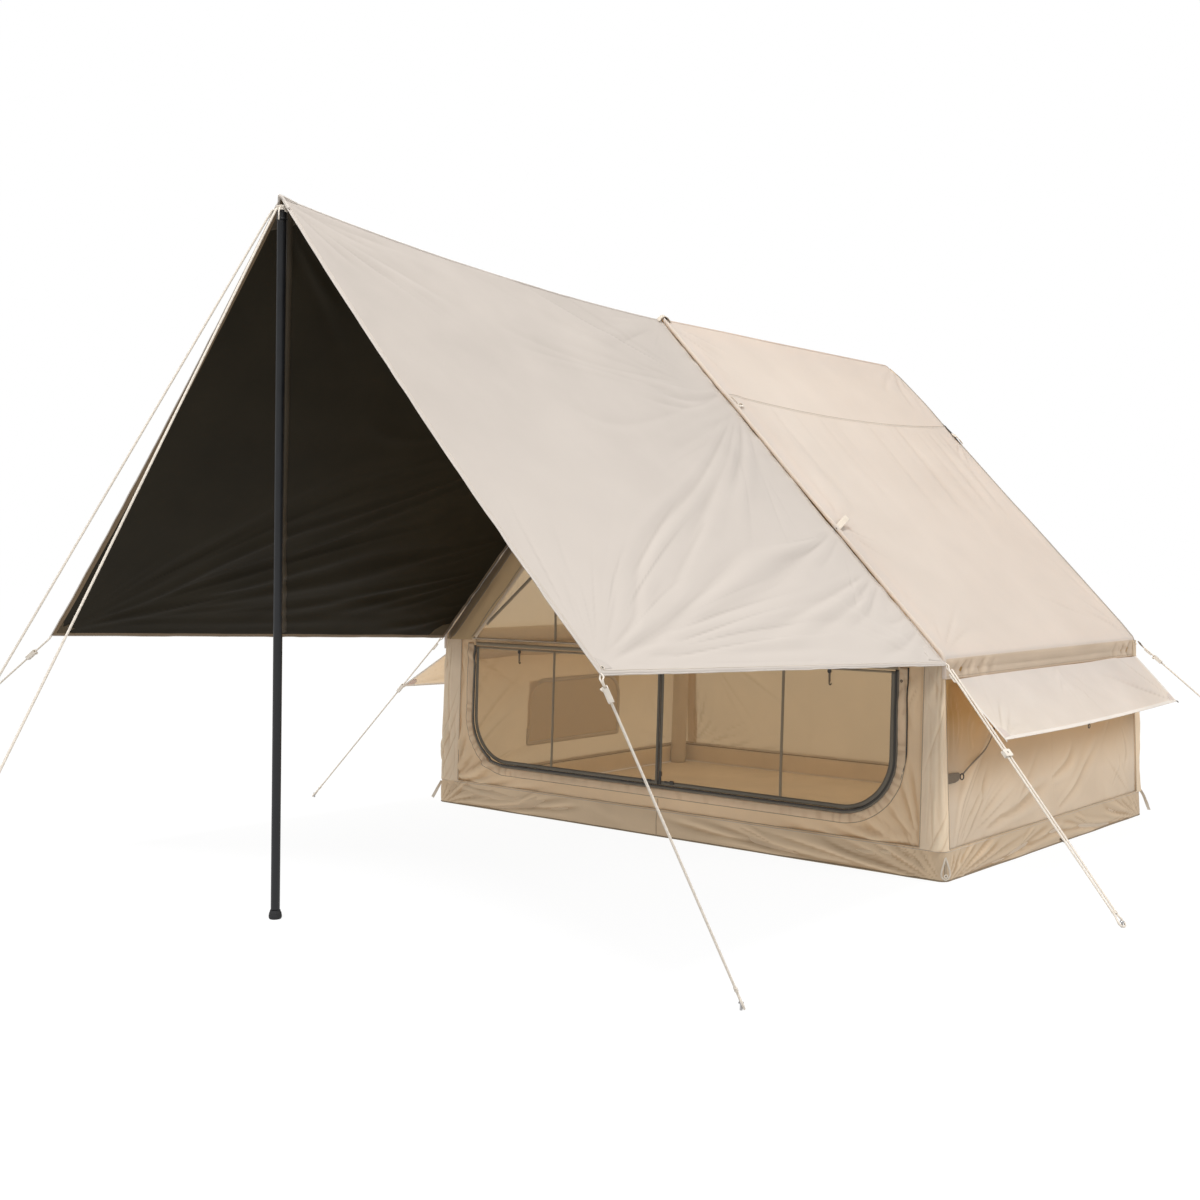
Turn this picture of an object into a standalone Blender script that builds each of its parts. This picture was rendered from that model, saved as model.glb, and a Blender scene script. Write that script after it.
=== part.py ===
"""Inflatable A-frame tent with a front awning, its pole, guy ropes and pegs.

Metres, +Z up. The origin is the middle of the floor's underside, the door faces -Y and +X is the
right-hand side of somebody inside who looks away from the door.
"""

import math

import bpy
from mathutils import Matrix, Vector

# ---------------------------------------------------------------- driving dimensions
FLOOR_W = 3.00          # across the door wall
FLOOR_D = 2.14          # door wall to rear wall
EAVE_Z = 0.915
RIDGE_Z = 2.44
LEAN = 0.035            # how far each wall leans in by the eave
REAR_OUT = 0.064        # how far the rear gable leans out again by the ridge
FABRIC = 0.006          # stand-in thickness of a wall or roof panel
BEAM_R = 0.048          # air arch tubes
CROSS_R = 0.044         # ridge and eave tubes
GAP = 0.001

DOOR_HALF = 1.253       # door hole, half width
DOOR_LOW = 0.242
DOOR_TOP = 0.856
DOOR_CORNER = 0.25
DOOR_AXIS_Z = 0.852
LEAF_GAP = 0.003
LEAF_T = 0.004

WINDOW_LOW = 0.262      # window of the left-hand wall
WINDOW_HIGH = 0.600
WINDOW_HALF = 0.390
WINDOW_CORNER = 0.12

APEX = Vector((0.0, -3.24, 2.60))       # awning, over the pole
AWN_FRONT = Vector((1.55, -3.28, 0.98))  # awning, front corner
AWN_REAR = Vector((1.491, -1.050, 0.888))  # awning, where it meets the eave
AWN_RIDGE = Vector((0.0, -1.044, 2.437))  # awning, where it meets the ridge
AWN_T = 0.008
AWN_SAG = 0.033

FLAP_HINGE = (1.484, 0.826)             # x, z of the canopy flap's sewn edge
FLAP_REAR_Y = 1.02
FLAP_FRONT_Y = -0.98
FLAP_OUT_FRONT = Vector((1.770, -1.100, 0.610))
FLAP_OUT_REAR = Vector((1.700, 1.000, 0.608))
FLAP_T = 0.004

POLE_FOOT = Vector((-0.055, -3.232, 0.0))
POLE_TOP = Vector((0.0, -3.235, 2.568))
POLE_R = 0.0165

ROPE_R = 0.004
EYE_R = 0.015           # loop of rope round a peg
EYE_LEN = 0.050
TAIL = 0.090            # short end that comes back to the knot
PEG_R = 0.004
PEG_HEAD_R = 0.0085

# rope: start on the tent, peg on the ground, half the spacing of its strands, strands, runner's place
ROPES = {
    "guy_front_left": ((-0.013, -3.264, 2.556), (-0.50, -4.62), 0.0044, 1, None),
    "guy_front_right": ((0.013, -3.264, 2.556), (0.42, -4.90), 0.0044, 1, None),
    "guy_awning_left": ((-1.562, -3.288, 0.962), (-2.50, -3.90), 0.0044, 1, 0.10),
    "guy_awning_right": ((1.562, -3.288, 0.962), (1.855, -2.989), 0.0044, 2, 0.040),
    "guy_eave_front_left": ((-1.512, -1.064, 0.872), (-2.124, -1.435), 0.0044, 1, 0.34),
    "guy_eave_front_right": ((1.512, -1.064, 0.872), (2.327, -1.305), 0.0080, 2, 0.43),
    "guy_eave_rear_right": ((1.500, 1.062, 0.876), (2.42, 1.38), 0.0044, 1, 0.10),
}
RUNNER_L = 0.056
RUNNER_T = 0.018

# ---------------------------------------------------------------- scene and materials
for obj in list(bpy.data.objects):
    bpy.data.objects.remove(obj, do_unlink=True)

tent = bpy.data.collections.new("inflatable_a_frame_tent")
bpy.context.scene.collection.children.link(tent)


def material(name, colour, roughness, metallic=0.0):
    mat = bpy.data.materials.new(name)
    mat.use_nodes = True
    shader = mat.node_tree.nodes["Principled BSDF"]
    shader.inputs["Base Color"].default_value = (*colour, 1.0)
    shader.inputs["Roughness"].default_value = roughness
    shader.inputs["Metallic"].default_value = metallic
    mat.diffuse_color = (*colour, 1.0)
    return mat


CANVAS = material("canvas_beige", (0.72, 0.62, 0.51), 0.85)
AWNING = material("awning_greige", (0.64, 0.59, 0.53), 0.75)
MESH = material("insect_mesh", (0.42, 0.35, 0.26), 0.80)
SHEET = material("groundsheet", (0.50, 0.42, 0.32), 0.60)
BEAM = material("air_beam", (0.60, 0.55, 0.47), 0.55)
BLACK = material("pole_black", (0.012, 0.013, 0.015), 0.35, 0.6)
RUBBER = material("foot_rubber", (0.02, 0.02, 0.02), 0.75)
CREAM = material("rope_cream", (0.80, 0.74, 0.64), 0.85)
PLASTIC = material("fitting_cream", (0.78, 0.72, 0.62), 0.45)
ZIP = material("zip_brown", (0.16, 0.13, 0.10), 0.55)
VALVE = material("valve_grey", (0.10, 0.10, 0.10), 0.45)
STEEL = material("peg_steel", (0.55, 0.55, 0.56), 0.35, 1.0)


def add(obj, mat):
    obj.data.materials.append(mat)
    tent.objects.link(obj)
    return obj


def plate(name, outline, thickness, origin, right, up, mat, holes=()):
    """A flat outline standing in the plane of right and up, with origin on its middle plane."""
    curve = bpy.data.curves.new(name, "CURVE")
    curve.dimensions = "2D"
    curve.fill_mode = "BOTH"
    curve.extrude = thickness / 2
    for loop in (outline, *holes):
        spline = curve.splines.new("POLY")
        spline.points.add(len(loop) - 1)
        for point, (x, y) in zip(spline.points, loop):
            point.co = (x, y, 0.0, 1.0)
        spline.use_cyclic_u = True
    obj = add(bpy.data.objects.new(name, curve), mat)
    right, up = Vector(right).normalized(), Vector(up).normalized()
    normal = right.cross(up)
    obj.matrix_world = Matrix.Translation(Vector(origin)) @ Matrix(
        (right, up, normal)
    ).transposed().to_4x4()
    return obj


def tube(name, points, radius, mat, resolution=3, cyclic=False):
    curve = bpy.data.curves.new(name, "CURVE")
    curve.dimensions = "3D"
    curve.bevel_depth = radius
    curve.bevel_resolution = resolution
    curve.use_fill_caps = not cyclic
    spline = curve.splines.new("POLY")
    spline.points.add(len(points) - 1)
    for point, co in zip(spline.points, points):
        point.co = (*co, 1.0)
    spline.use_cyclic_u = cyclic
    return add(bpy.data.objects.new(name, curve), mat)


def turned(name, profile, mat, steps=24, matrix=None):
    """A profile in the XZ plane, from the axis at its top down its outer side to the axis again."""
    mesh = bpy.data.meshes.new(name)
    mesh.from_pydata(
        [(x, 0.0, z) for x, z in profile],
        [(i, i + 1) for i in range(len(profile) - 1)],
        [],
    )
    obj = add(bpy.data.objects.new(name, mesh), mat)
    screw = obj.modifiers.new("turn", "SCREW")
    screw.steps = screw.render_steps = steps
    screw.use_merge_vertices = True
    screw.merge_threshold = 0.0001
    screw.use_smooth_shade = True
    if matrix is not None:
        obj.matrix_world = matrix
    return obj


def cloth(name, surface, across, down, thickness, mat):
    """An open sheet, surface(u, v) for u and v from 0 to 1, made a shell with Solidify."""
    bpy.ops.mesh.primitive_grid_add(x_subdivisions=across, y_subdivisions=down, size=1.0)
    obj = bpy.context.active_object
    obj.name = obj.data.name = name
    for vertex in obj.data.vertices:
        vertex.co = surface(vertex.co.x + 0.5, vertex.co.y + 0.5)
    for holder in list(obj.users_collection):
        holder.objects.unlink(obj)
    add(obj, mat)
    obj.location = (0.0, 0.0, 0.0)
    shell = obj.modifiers.new("thickness", "SOLIDIFY")
    shell.thickness = thickness
    shell.offset = 0.0
    return obj


def lerp(a, b, t):
    return a + (b - a) * t


def rounded(points, radius, steps=7):
    """The polyline with each inner corner turned into an arc of this radius, in 3D."""
    out = [Vector(points[0])]
    for before, corner, after in zip(points, points[1:], points[2:]):
        before, corner, after = Vector(before), Vector(corner), Vector(after)
        a, b = (before - corner).normalized(), (after - corner).normalized()
        half = a.angle(b) / 2
        reach = radius / math.tan(half)
        centre = corner + (a + b).normalized() * (radius / math.sin(half))
        start, end = corner + a * reach, corner + b * reach
        for i in range(steps + 1):
            ray = (start - centre).lerp(end - centre, i / steps).normalized()
            out.append(centre + ray * radius)
    out.append(Vector(points[-1]))
    return out


def corner_arc(cx, cy, radius, start, end, steps=8):
    return [
        (
            cx + radius * math.cos(math.radians(lerp(start, end, i / steps))),
            cy + radius * math.sin(math.radians(lerp(start, end, i / steps))),
        )
        for i in range(steps + 1)
    ]


# ---------------------------------------------------------------- floor and walls
HALF_W, HALF_D = FLOOR_W / 2, FLOOR_D / 2
LEAN_RATE = LEAN / EAVE_Z
EAVE_X = HALF_W - LEAN
EAVE_Y = HALF_D - LEAN
WALL_TOP = 0.900

plate(
    "groundsheet",
    [
        (-HALF_W + 0.008, -HALF_D + 0.008),
        (HALF_W - 0.008, -HALF_D + 0.008),
        (HALF_W - 0.008, HALF_D - 0.008),
        (-HALF_W + 0.008, HALF_D - 0.008),
    ],
    FABRIC,
    (0, 0, FABRIC / 2),
    (1, 0, 0),
    (0, 1, 0),
    SHEET,
)

SLANT = math.hypot(1.0, LEAN_RATE)  # length along a leaning wall for one metre of height


def wall_outline(half, top):
    return [
        (-half, 0.0),
        (half, 0.0),
        (half - LEAN_RATE * top, top * SLANT),
        (-half + LEAN_RATE * top, top * SLANT),
    ]


def window_outline(grow):
    """The left wall's window, rounded at the top: grow is added on every side."""
    low, high, half = WINDOW_LOW - grow, WINDOW_HIGH + grow, WINDOW_HALF + grow
    radius = WINDOW_CORNER + grow
    return [
        (-half, low),
        (half, low),
        *corner_arc(half - radius, high - radius, radius, 0, 90),
        *corner_arc(-half + radius, high - radius, radius, 90, 180),
    ]


for side, name in ((-1, "left"), (1, "right")):
    up = Vector((-side * LEAN_RATE, 0, 1))
    out = Vector((side, 0, LEAN_RATE)).normalized()
    foot = Vector((side * HALF_W, 0, 0.0))
    plate(
        f"wall_{name}",
        wall_outline(HALF_D - FABRIC - GAP, WALL_TOP),
        FABRIC,
        foot - out * (FABRIC / 2) + Vector((0, 0, 0.0004)),
        (0, side, 0),
        up,
        CANVAS,
        holes=[window_outline(0.0)] if side < 0 else [],
    )
    if side < 0:
        # insect mesh, sewn round the window on the wall's inner face
        plate(
            "window_mesh_left",
            window_outline(0.015),
            0.002,
            foot - out * (FABRIC + GAP + 0.001),
            (0, side, 0),
            up,
            MESH,
        )
    # the roof's lower edge wraps down over the eave tube
    band_low, band_high = 0.832, 0.906
    plate(
        f"eave_band_{name}",
        [
            (-EAVE_Y, band_low),
            (EAVE_Y, band_low),
            (EAVE_Y, band_high),
            (-EAVE_Y, band_high),
        ],
        0.004,
        foot + out * (GAP + 0.002),
        (0, side, 0),
        up,
        CANVAS,
    )

rear_up = Vector((0, -LEAN_RATE, 1))
rear_out = Vector((0, 1, LEAN_RATE)).normalized()
plate(
    "wall_rear",
    wall_outline(HALF_W, WALL_TOP),
    FABRIC,
    Vector((0, HALF_D, 0.0004)) - rear_out * (FABRIC / 2),
    (-1, 0, 0),
    rear_up,
    CANVAS,
)

front_up = Vector((0, LEAN_RATE, 1))
front_out = Vector((0, -1, LEAN_RATE)).normalized()
front_foot = Vector((0, -HALF_D, 0.0004)) - front_out * (FABRIC / 2)
plate(
    "wall_front",
    wall_outline(HALF_W, WALL_TOP),
    FABRIC,
    front_foot,
    (1, 0, 0),
    front_up,
    CANVAS,
    holes=[
        [
            *corner_arc(-DOOR_HALF + DOOR_CORNER, DOOR_LOW + DOOR_CORNER, DOOR_CORNER, 180, 270),
            *corner_arc(DOOR_HALF - DOOR_CORNER, DOOR_LOW + DOOR_CORNER, DOOR_CORNER, 270, 360),
            (DOOR_HALF, DOOR_TOP),
            (-DOOR_HALF, DOOR_TOP),
        ]
    ],
)

# ---------------------------------------------------------------- gables and roof
SLOPE = Vector((EAVE_X, 0, EAVE_Z - RIDGE_Z))
SLOPE_LEN = SLOPE.length
DOWN = SLOPE.normalized()                       # down the right-hand roof
OUT = Vector((-DOWN.z, 0, DOWN.x))              # out of it
UNDER = FABRIC + 0.0015                         # clear of the roof's inner face


def gable_outline(low_z, clear):
    """A triangle under both roof panels, from low_z up, with heights measured from low_z."""
    run = DOWN.x / -DOWN.z
    inner_eave = Vector((EAVE_X, 0, EAVE_Z)) - OUT * clear
    half = inner_eave.x - run * (low_z - inner_eave.z)
    return [(-half, 0.0), (half, 0.0), (0.0, half / run)]


GABLE_LOW = 0.905
plate(
    "gable_mesh_front",
    gable_outline(GABLE_LOW, UNDER),
    0.004,
    (0, -EAVE_Y + 0.004, GABLE_LOW),
    (1, 0, 0),
    (0, 0, 1),
    MESH,
)
REAR_RATE = REAR_OUT / (RIDGE_Z - EAVE_Z)
plate(
    "gable_rear",
    gable_outline(GABLE_LOW, UNDER + 0.001),
    FABRIC,
    (0, EAVE_Y - 0.006, GABLE_LOW),
    (-1, 0, 0),
    (0, REAR_RATE, 1),
    CANVAS,
)

for side, name in ((-1, "left"), (1, "right")):
    down = Vector((side * DOWN.x, 0, DOWN.z))
    out = Vector((side * OUT.x, 0, OUT.z))
    start = 0.008
    plate(
        f"roof_panel_{name}",
        [
            (-EAVE_Y, -SLOPE_LEN),
            (EAVE_Y, -SLOPE_LEN),
            (EAVE_Y + REAR_OUT, -start),
            (-EAVE_Y, -start),
        ]
        if side > 0
        else [
            (EAVE_Y, -SLOPE_LEN),
            (-EAVE_Y, -SLOPE_LEN),
            (-EAVE_Y - REAR_OUT, -start),
            (EAVE_Y, -start),
        ],
        FABRIC,
        Vector((0, 0, RIDGE_Z)) - out * (FABRIC / 2),
        (0, side, 0),
        -down,
        CANVAS,
    )

# ---------------------------------------------------------------- air frame
WALL_IN = FABRIC + GAP + BEAM_R
ROOF_IN = FABRIC + 0.002 + BEAM_R


def arch(sign):
    """Centre line of one A-shaped air tube, left foot to right foot."""
    plane = HALF_D - 0.105

    def at(x, z):
        return Vector((x, sign * plane + (REAR_RATE * max(0.0, z - 0.9) if sign > 0 else 0.0), z))

    ridge = Vector((0, 0, RIDGE_Z)) - OUT * ROOF_IN
    wall_x = HALF_W - WALL_IN
    u = (wall_x - LEAN_RATE * ridge.z - ridge.x) / (DOWN.x + LEAN_RATE * DOWN.z)
    knee = ridge + DOWN * u
    top = ridge + DOWN * (-ridge.x / DOWN.x)
    low = 0.0095
    right = [at(wall_x - LEAN_RATE * low, low), at(knee.x, knee.z)]
    return [
        Vector((-p.x, p.y, p.z)) for p in right
    ] + [at(0.0, top.z)] + right[::-1], knee, top


for sign, name in ((-1, "front_air_arch"), (1, "rear_air_arch")):
    line, knee, top = arch(sign)
    path = rounded(line, 0.11)
    tube(name, path, BEAM_R, BEAM, resolution=2)

END = HALF_D - 0.105 - BEAM_R - 0.003
tube(
    "ridge_air_beam",
    [(0, -END, top.z), (0, END + REAR_RATE * (top.z - 0.9), top.z)],
    CROSS_R,
    BEAM,
)
for side, name in ((-1, "left"), (1, "right")):
    tube(
        f"eave_air_beam_{name}",
        [(side * knee.x, -END, knee.z), (side * knee.x, END, knee.z)],
        CROSS_R,
        BEAM,
    )

# ---------------------------------------------------------------- door leaves and what is on them
door_axis = front_foot + front_up * DOOR_AXIS_Z
for side, name in ((-1, "left"), (1, "right")):
    hinge = bpy.data.objects.new(f"door_{name}_hinge", None)
    hinge.location = door_axis
    tent.objects.link(hinge)
    inner, outer = 0.002, DOOR_HALF - LEAF_GAP
    low, high = DOOR_LOW + LEAF_GAP, DOOR_AXIS_Z - 0.003
    radius = DOOR_CORNER - LEAF_GAP
    if side > 0:
        outline = [
            (inner, low),
            *corner_arc(outer - radius, low + radius, radius, 270, 360),
            (outer, high),
            (inner, high),
        ]
    else:
        outline = [
            (-inner, high),
            (-outer, high),
            *corner_arc(-outer + radius, low + radius, radius, 180, 270),
            (-inner, low),
        ]
    bpy.context.view_layer.update()
    leaf = plate(f"door_mesh_{name}", outline, LEAF_T, front_foot, (1, 0, 0), front_up, MESH)
    face = front_foot + front_out * (LEAF_T / 2 + 0.0005)
    # tie for the rolled-up leaf: an elastic loop with a peg-shaped toggle, hanging from the top edge
    tie = plate(
        f"door_tie_{name}",
        [
            (-0.003, 0.0), (0.003, 0.0), (0.003, -0.030), (0.007, -0.036), (0.007, -0.072),
            (0.0, -0.080), (-0.007, -0.072), (-0.007, -0.036), (-0.003, -0.030),
        ][::-1],
        0.005,
        face + front_out * 0.0025 + front_up * 0.846 + Vector((side * 0.93, 0, 0)),
        (1, 0, 0),
        front_up,
        ZIP,
    )
    pull = plate(
        f"zip_pull_{name}",
        [
            (-0.008, 0.010), (0.008, 0.010), (0.009, -0.010), (0.004, -0.014),
            (0.005, -0.044), (-0.005, -0.044), (-0.004, -0.014), (-0.009, -0.010),
        ][::-1],
        0.005,
        face + front_out * 0.0025 + front_up * 0.262 + Vector((side * 0.085, 0, 0)),
        (0, 0, 1),
        (side, 0, 0),
        ZIP,
    )
    for piece in (leaf, tie, pull):
        world = piece.matrix_world.copy()
        piece.parent = hinge
        piece.matrix_parent_inverse = Matrix.Translation(-door_axis)
        piece.matrix_world = world

centre_pull = plate(
    "zip_pull_centre",
    [
        (-0.008, 0.010), (0.008, 0.010), (0.009, -0.010), (0.004, -0.014),
        (0.005, -0.052), (-0.005, -0.052), (-0.004, -0.014), (-0.009, -0.010),
    ][::-1],
    0.005,
    front_foot + front_out * (LEAF_T / 2 + 0.003) + front_up * 0.300 + Vector((0.013, 0, 0)),
    (1, 0, 0),
    front_up,
    ZIP,
)

# ---------------------------------------------------------------- canopy flaps over the side walls


def flap_surface(side):
    def surface(u, v):
        hinge = Vector((FLAP_HINGE[0] + 0.003, lerp(FLAP_FRONT_Y, FLAP_REAR_Y, u), FLAP_HINGE[1] - 0.002))
        outer = FLAP_OUT_FRONT.lerp(FLAP_OUT_REAR, u)
        point = hinge.lerp(outer, v)
        point.z -= 0.012 * math.sin(math.pi * u) * v
        return Vector((side * point.x, point.y, point.z))

    return surface


for side, name in ((-1, "left"), (1, "right")):
    flap = cloth(f"side_flap_{name}", flap_surface(side), 8, 3, FLAP_T, CANVAS)
    if side < 0:
        flap.data.flip_normals()

# ---------------------------------------------------------------- awning


def awning_surface(side):
    def surface(u, v):
        front = APEX.lerp(AWN_FRONT, v)
        rear = AWN_RIDGE.lerp(AWN_REAR, v)
        point = front.lerp(rear, u)
        point.x += 0.006 * (1 - v)
        point.z -= AWN_SAG * 4 * u * (1 - u) * (1 - v)
        return Vector((side * point.x, point.y, point.z))

    return surface


for side, name in ((-1, "left"), (1, "right")):
    wing = cloth(f"awning_{name}", awning_surface(side), 10, 6, AWN_T, AWNING)
    if side < 0:
        wing.data.flip_normals()

# ---------------------------------------------------------------- pole
axis = (POLE_TOP - POLE_FOOT).normalized()
turn = Vector((0, 0, 1)).rotation_difference(axis).to_matrix().to_4x4()
pole = bpy.data.objects.new("pole_axis", None)
pole.matrix_world = Matrix.Translation(POLE_FOOT) @ turn
tent.objects.link(pole)
bpy.context.view_layer.update()
LENGTH = (POLE_TOP - POLE_FOOT).length
CAP_H = 0.046
tube_part = turned(
    "pole_tube",
    [(0, LENGTH - CAP_H - 0.0005), (POLE_R, LENGTH - CAP_H - 0.0005), (POLE_R, 0.034), (0, 0.034)],
    BLACK,
    20,
)
cap = turned(
    "pole_cap",
    [
        (0, LENGTH), (0.008, LENGTH - 0.001), (0.014, LENGTH - 0.005), (0.0175, LENGTH - 0.012),
        (0.0175, LENGTH - CAP_H + 0.006), (0.0185, LENGTH - CAP_H + 0.004), (0.0185, LENGTH - CAP_H),
        (0, LENGTH - CAP_H),
    ],
    BLACK,
    20,
)
for piece in (tube_part, cap):
    piece.matrix_world = pole.matrix_world
turned(
    "pole_foot",
    [
        (0, 0.033), (0.0185, 0.033), (0.0195, 0.029), (0.0225, 0.024), (0.0235, 0.014),
        (0.0235, 0.006), (0.0215, 0.0), (0, 0.0),
    ],
    RUBBER,
    24,
    Matrix.Translation(POLE_FOOT + Vector((0.0006, 0, 0))),
)

# ---------------------------------------------------------------- guy ropes, runners and pegs


def rope_frame(start, peg):
    """Far point of the loop round the peg, and the directions up the rope and across it."""
    far = Vector((peg[0], peg[1], ROPE_R + 0.0008))
    along = Vector(start) - far
    reach = along.length
    along.normalize()
    across = Vector((0, 0, 1)).cross(along).normalized()
    return far, along, across, reach


def rope_path(start, peg, half, strands):
    far, along, across, reach = rope_frame(start, peg)

    def width(u):
        if u >= EYE_LEN:
            return half
        return half + (EYE_R - half) * (0.5 + 0.5 * math.cos(math.pi * (u - EYE_R) / (EYE_LEN - EYE_R)))

    def at(u, v):
        return far + along * u + across * v

    straight = [lerp(reach, EYE_LEN + 0.02, i / 13) for i in range(14)]
    neck = [lerp(EYE_LEN, EYE_R, i / 5) for i in range(5)]
    points = [at(u, width(u)) for u in straight + neck]
    for i in range(13):
        angle = math.pi * i / 12
        points.append(at(EYE_R - EYE_R * math.sin(angle), EYE_R * math.cos(angle)))
    back = neck[::-1]
    points += [at(u, -width(u)) for u in back]
    if strands == 1:
        points += [at(u, -width(u)) for u in (EYE_LEN + 0.012, TAIL)]
    else:
        points += [at(u, -width(u)) for u in straight[::-1]]
    return points


def stadium(half_w, half_t, steps=4):
    """Outline of a bar with round ends, half_w to each side of the middle."""
    flat = half_w - half_t
    return corner_arc(flat, 0, half_t, -90, 90, steps * 2) + corner_arc(-flat, 0, half_t, 90, 270, steps * 2)


for name, (start, peg, half, strands, runner_at) in ROPES.items():
    tube(name, rope_path(start, peg, half, strands), ROPE_R, CREAM, resolution=2)
    far, along, across, reach = rope_frame(start, peg)
    level = Vector((along.x, along.y, 0)).normalized()
    stem = Vector((peg[0], peg[1], 0)) + level * (ROPE_R + PEG_R + 0.0006)
    turned(
        name.replace("guy_", "peg_"),
        [(0, 0.024), (PEG_HEAD_R - 0.0015, 0.024), (PEG_HEAD_R, 0.0225), (PEG_HEAD_R, 0.020), (PEG_R, 0.0195), (PEG_R, 0.0), (0, 0.0)],
        STEEL,
        16,
        Matrix.Translation(stem),
    )
    if runner_at is None:
        continue
    both = strands == 2
    middle = 0.0 if both else half
    slot = (half if both else 0.0) + ROPE_R + 0.001
    plate(
        name.replace("guy_", "runner_"),
        [(x, y) for x, y in stadium(slot + 0.009, RUNNER_T / 2)],
        RUNNER_L,
        far + along * (reach - runner_at) + across * middle,
        across,
        along.cross(across),
        PLASTIC,
        holes=[[(x, y) for x, y in stadium(slot if both else slot + 0.0001, ROPE_R + 0.001)]],
    )

# ring for a guy rope at the eave corner that has none tied on
tube(
    "guy_ring_rear_left",
    [
        (-1.492 - 0.014 * math.sin(a), 1.046 + 0.006 * math.sin(a), 0.868 - 0.016 * math.cos(a))
        for a in (2 * math.pi * i / 14 for i in range(14))
    ],
    0.003,
    PLASTIC,
    resolution=1,
    cyclic=True,
)

# webbing anchor low on the right-hand wall, beside the front corner
plate(
    "wall_anchor_right",
    [(-0.052, -0.024), (0.020, -0.024), (0.030, -0.012), (0.030, 0.010), (-0.020, 0.030), (-0.052, 0.030)],
    0.004,
    Vector((HALF_W, -0.990, 0.0)) + Vector((-LEAN_RATE, 0, 1)) * 0.425 + Vector((1, 0, LEAN_RATE)).normalized() * 0.003,
    (0, 1, 0),
    (-LEAN_RATE, 0, 1),
    ZIP,
)

# ---------------------------------------------------------------- inflation valve, low on the left-hand wall, at the front arch's leg
left_up = Vector((LEAN_RATE, 0, 1))
left_out = Vector((-1, 0, LEAN_RATE)).normalized()
valve_at = Vector((-HALF_W, -0.952, 0.0)) + left_up * 0.30 + left_out * 0.0008
valve_turn = Vector((0, 0, 1)).rotation_difference(left_out).to_matrix().to_4x4()
turned(
    "valve_body",
    [(0, 0.010), (0.016, 0.010), (0.017, 0.009), (0.017, 0.004), (0.026, 0.003), (0.026, 0.0), (0, 0.0)],
    VALVE,
    24,
    Matrix.Translation(valve_at) @ valve_turn,
)
turned(
    "valve_cap",
    [(0, 0.020), (0.017, 0.020), (0.019, 0.018), (0.0195, 0.0105), (0, 0.0105)],
    VALVE,
    24,
    Matrix.Translation(valve_at) @ valve_turn,
)
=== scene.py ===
"""The looks of the inflatable A-frame tent: cloth, seams, zips, mesh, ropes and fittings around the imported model.

Metres, +Z up, the same frame as the model: the door faces -Y, the origin is the middle of the floor.
"""

import math

import bpy
import numpy as np
from mathutils import Matrix, Vector


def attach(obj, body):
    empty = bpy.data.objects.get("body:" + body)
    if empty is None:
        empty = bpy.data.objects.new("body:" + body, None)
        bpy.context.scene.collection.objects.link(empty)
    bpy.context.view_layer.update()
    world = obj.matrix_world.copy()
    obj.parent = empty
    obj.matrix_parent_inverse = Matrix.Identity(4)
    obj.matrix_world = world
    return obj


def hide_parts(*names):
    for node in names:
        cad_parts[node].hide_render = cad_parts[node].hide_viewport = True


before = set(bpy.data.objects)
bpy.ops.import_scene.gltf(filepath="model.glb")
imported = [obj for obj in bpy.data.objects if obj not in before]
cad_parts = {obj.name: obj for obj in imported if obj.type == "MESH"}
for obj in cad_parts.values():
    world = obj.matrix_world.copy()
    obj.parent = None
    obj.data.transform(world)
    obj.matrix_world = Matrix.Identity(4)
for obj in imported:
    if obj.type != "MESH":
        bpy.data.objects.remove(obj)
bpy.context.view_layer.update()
scene = bpy.context.scene
looks = bpy.data.collections.new("looks")
scene.collection.children.link(looks)

# ------------------------------------------------------------------ the model's own dimensions
HALF_W, HALF_D = 1.5, 1.07
EAVE_Z, RIDGE_Z = 0.915, 2.44
LEAN = 0.035 / EAVE_Z
EAVE_X, EAVE_Y = HALF_W - 0.035, HALF_D - 0.035
SLOPE_LEN = math.hypot(EAVE_X, RIDGE_Z - EAVE_Z)
DOWN_X, DOWN_Z = EAVE_X / SLOPE_LEN, (EAVE_Z - RIDGE_Z) / SLOPE_LEN
REAR_OUT = 0.064
APEX = np.array([0.0, -3.24, 2.60])
AWN_FRONT = np.array([1.55, -3.28, 0.98])
AWN_REAR = np.array([1.491, -1.050, 0.888])
AWN_RIDGE = np.array([0.0, -1.044, 2.437])
POLE_FOOT = Vector((-0.055, -3.232, 0.0))
POLE_TOP = Vector((0.0, -3.235, 2.568))
ROPE_R = 0.004
EYE_R, EYE_LEN, TAIL = 0.015, 0.050, 0.090
ROPES = {
    "guy_front_left": ((-0.013, -3.264, 2.556), (-0.50, -4.62), 0.0044, 1, None),
    "guy_front_right": ((0.013, -3.264, 2.556), (0.42, -4.90), 0.0044, 1, None),
    "guy_awning_left": ((-1.562, -3.288, 0.962), (-2.50, -3.90), 0.0044, 1, 0.10),
    "guy_awning_right": ((1.562, -3.288, 0.962), (1.855, -2.989), 0.0044, 2, 0.040),
    "guy_eave_front_left": ((-1.512, -1.064, 0.872), (-2.124, -1.435), 0.0044, 1, 0.34),
    "guy_eave_front_right": ((1.512, -1.064, 0.872), (2.327, -1.305), 0.0080, 2, 0.43),
    "guy_eave_rear_right": ((1.500, 1.062, 0.876), (2.42, 1.38), 0.0044, 1, 0.10),
}

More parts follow.
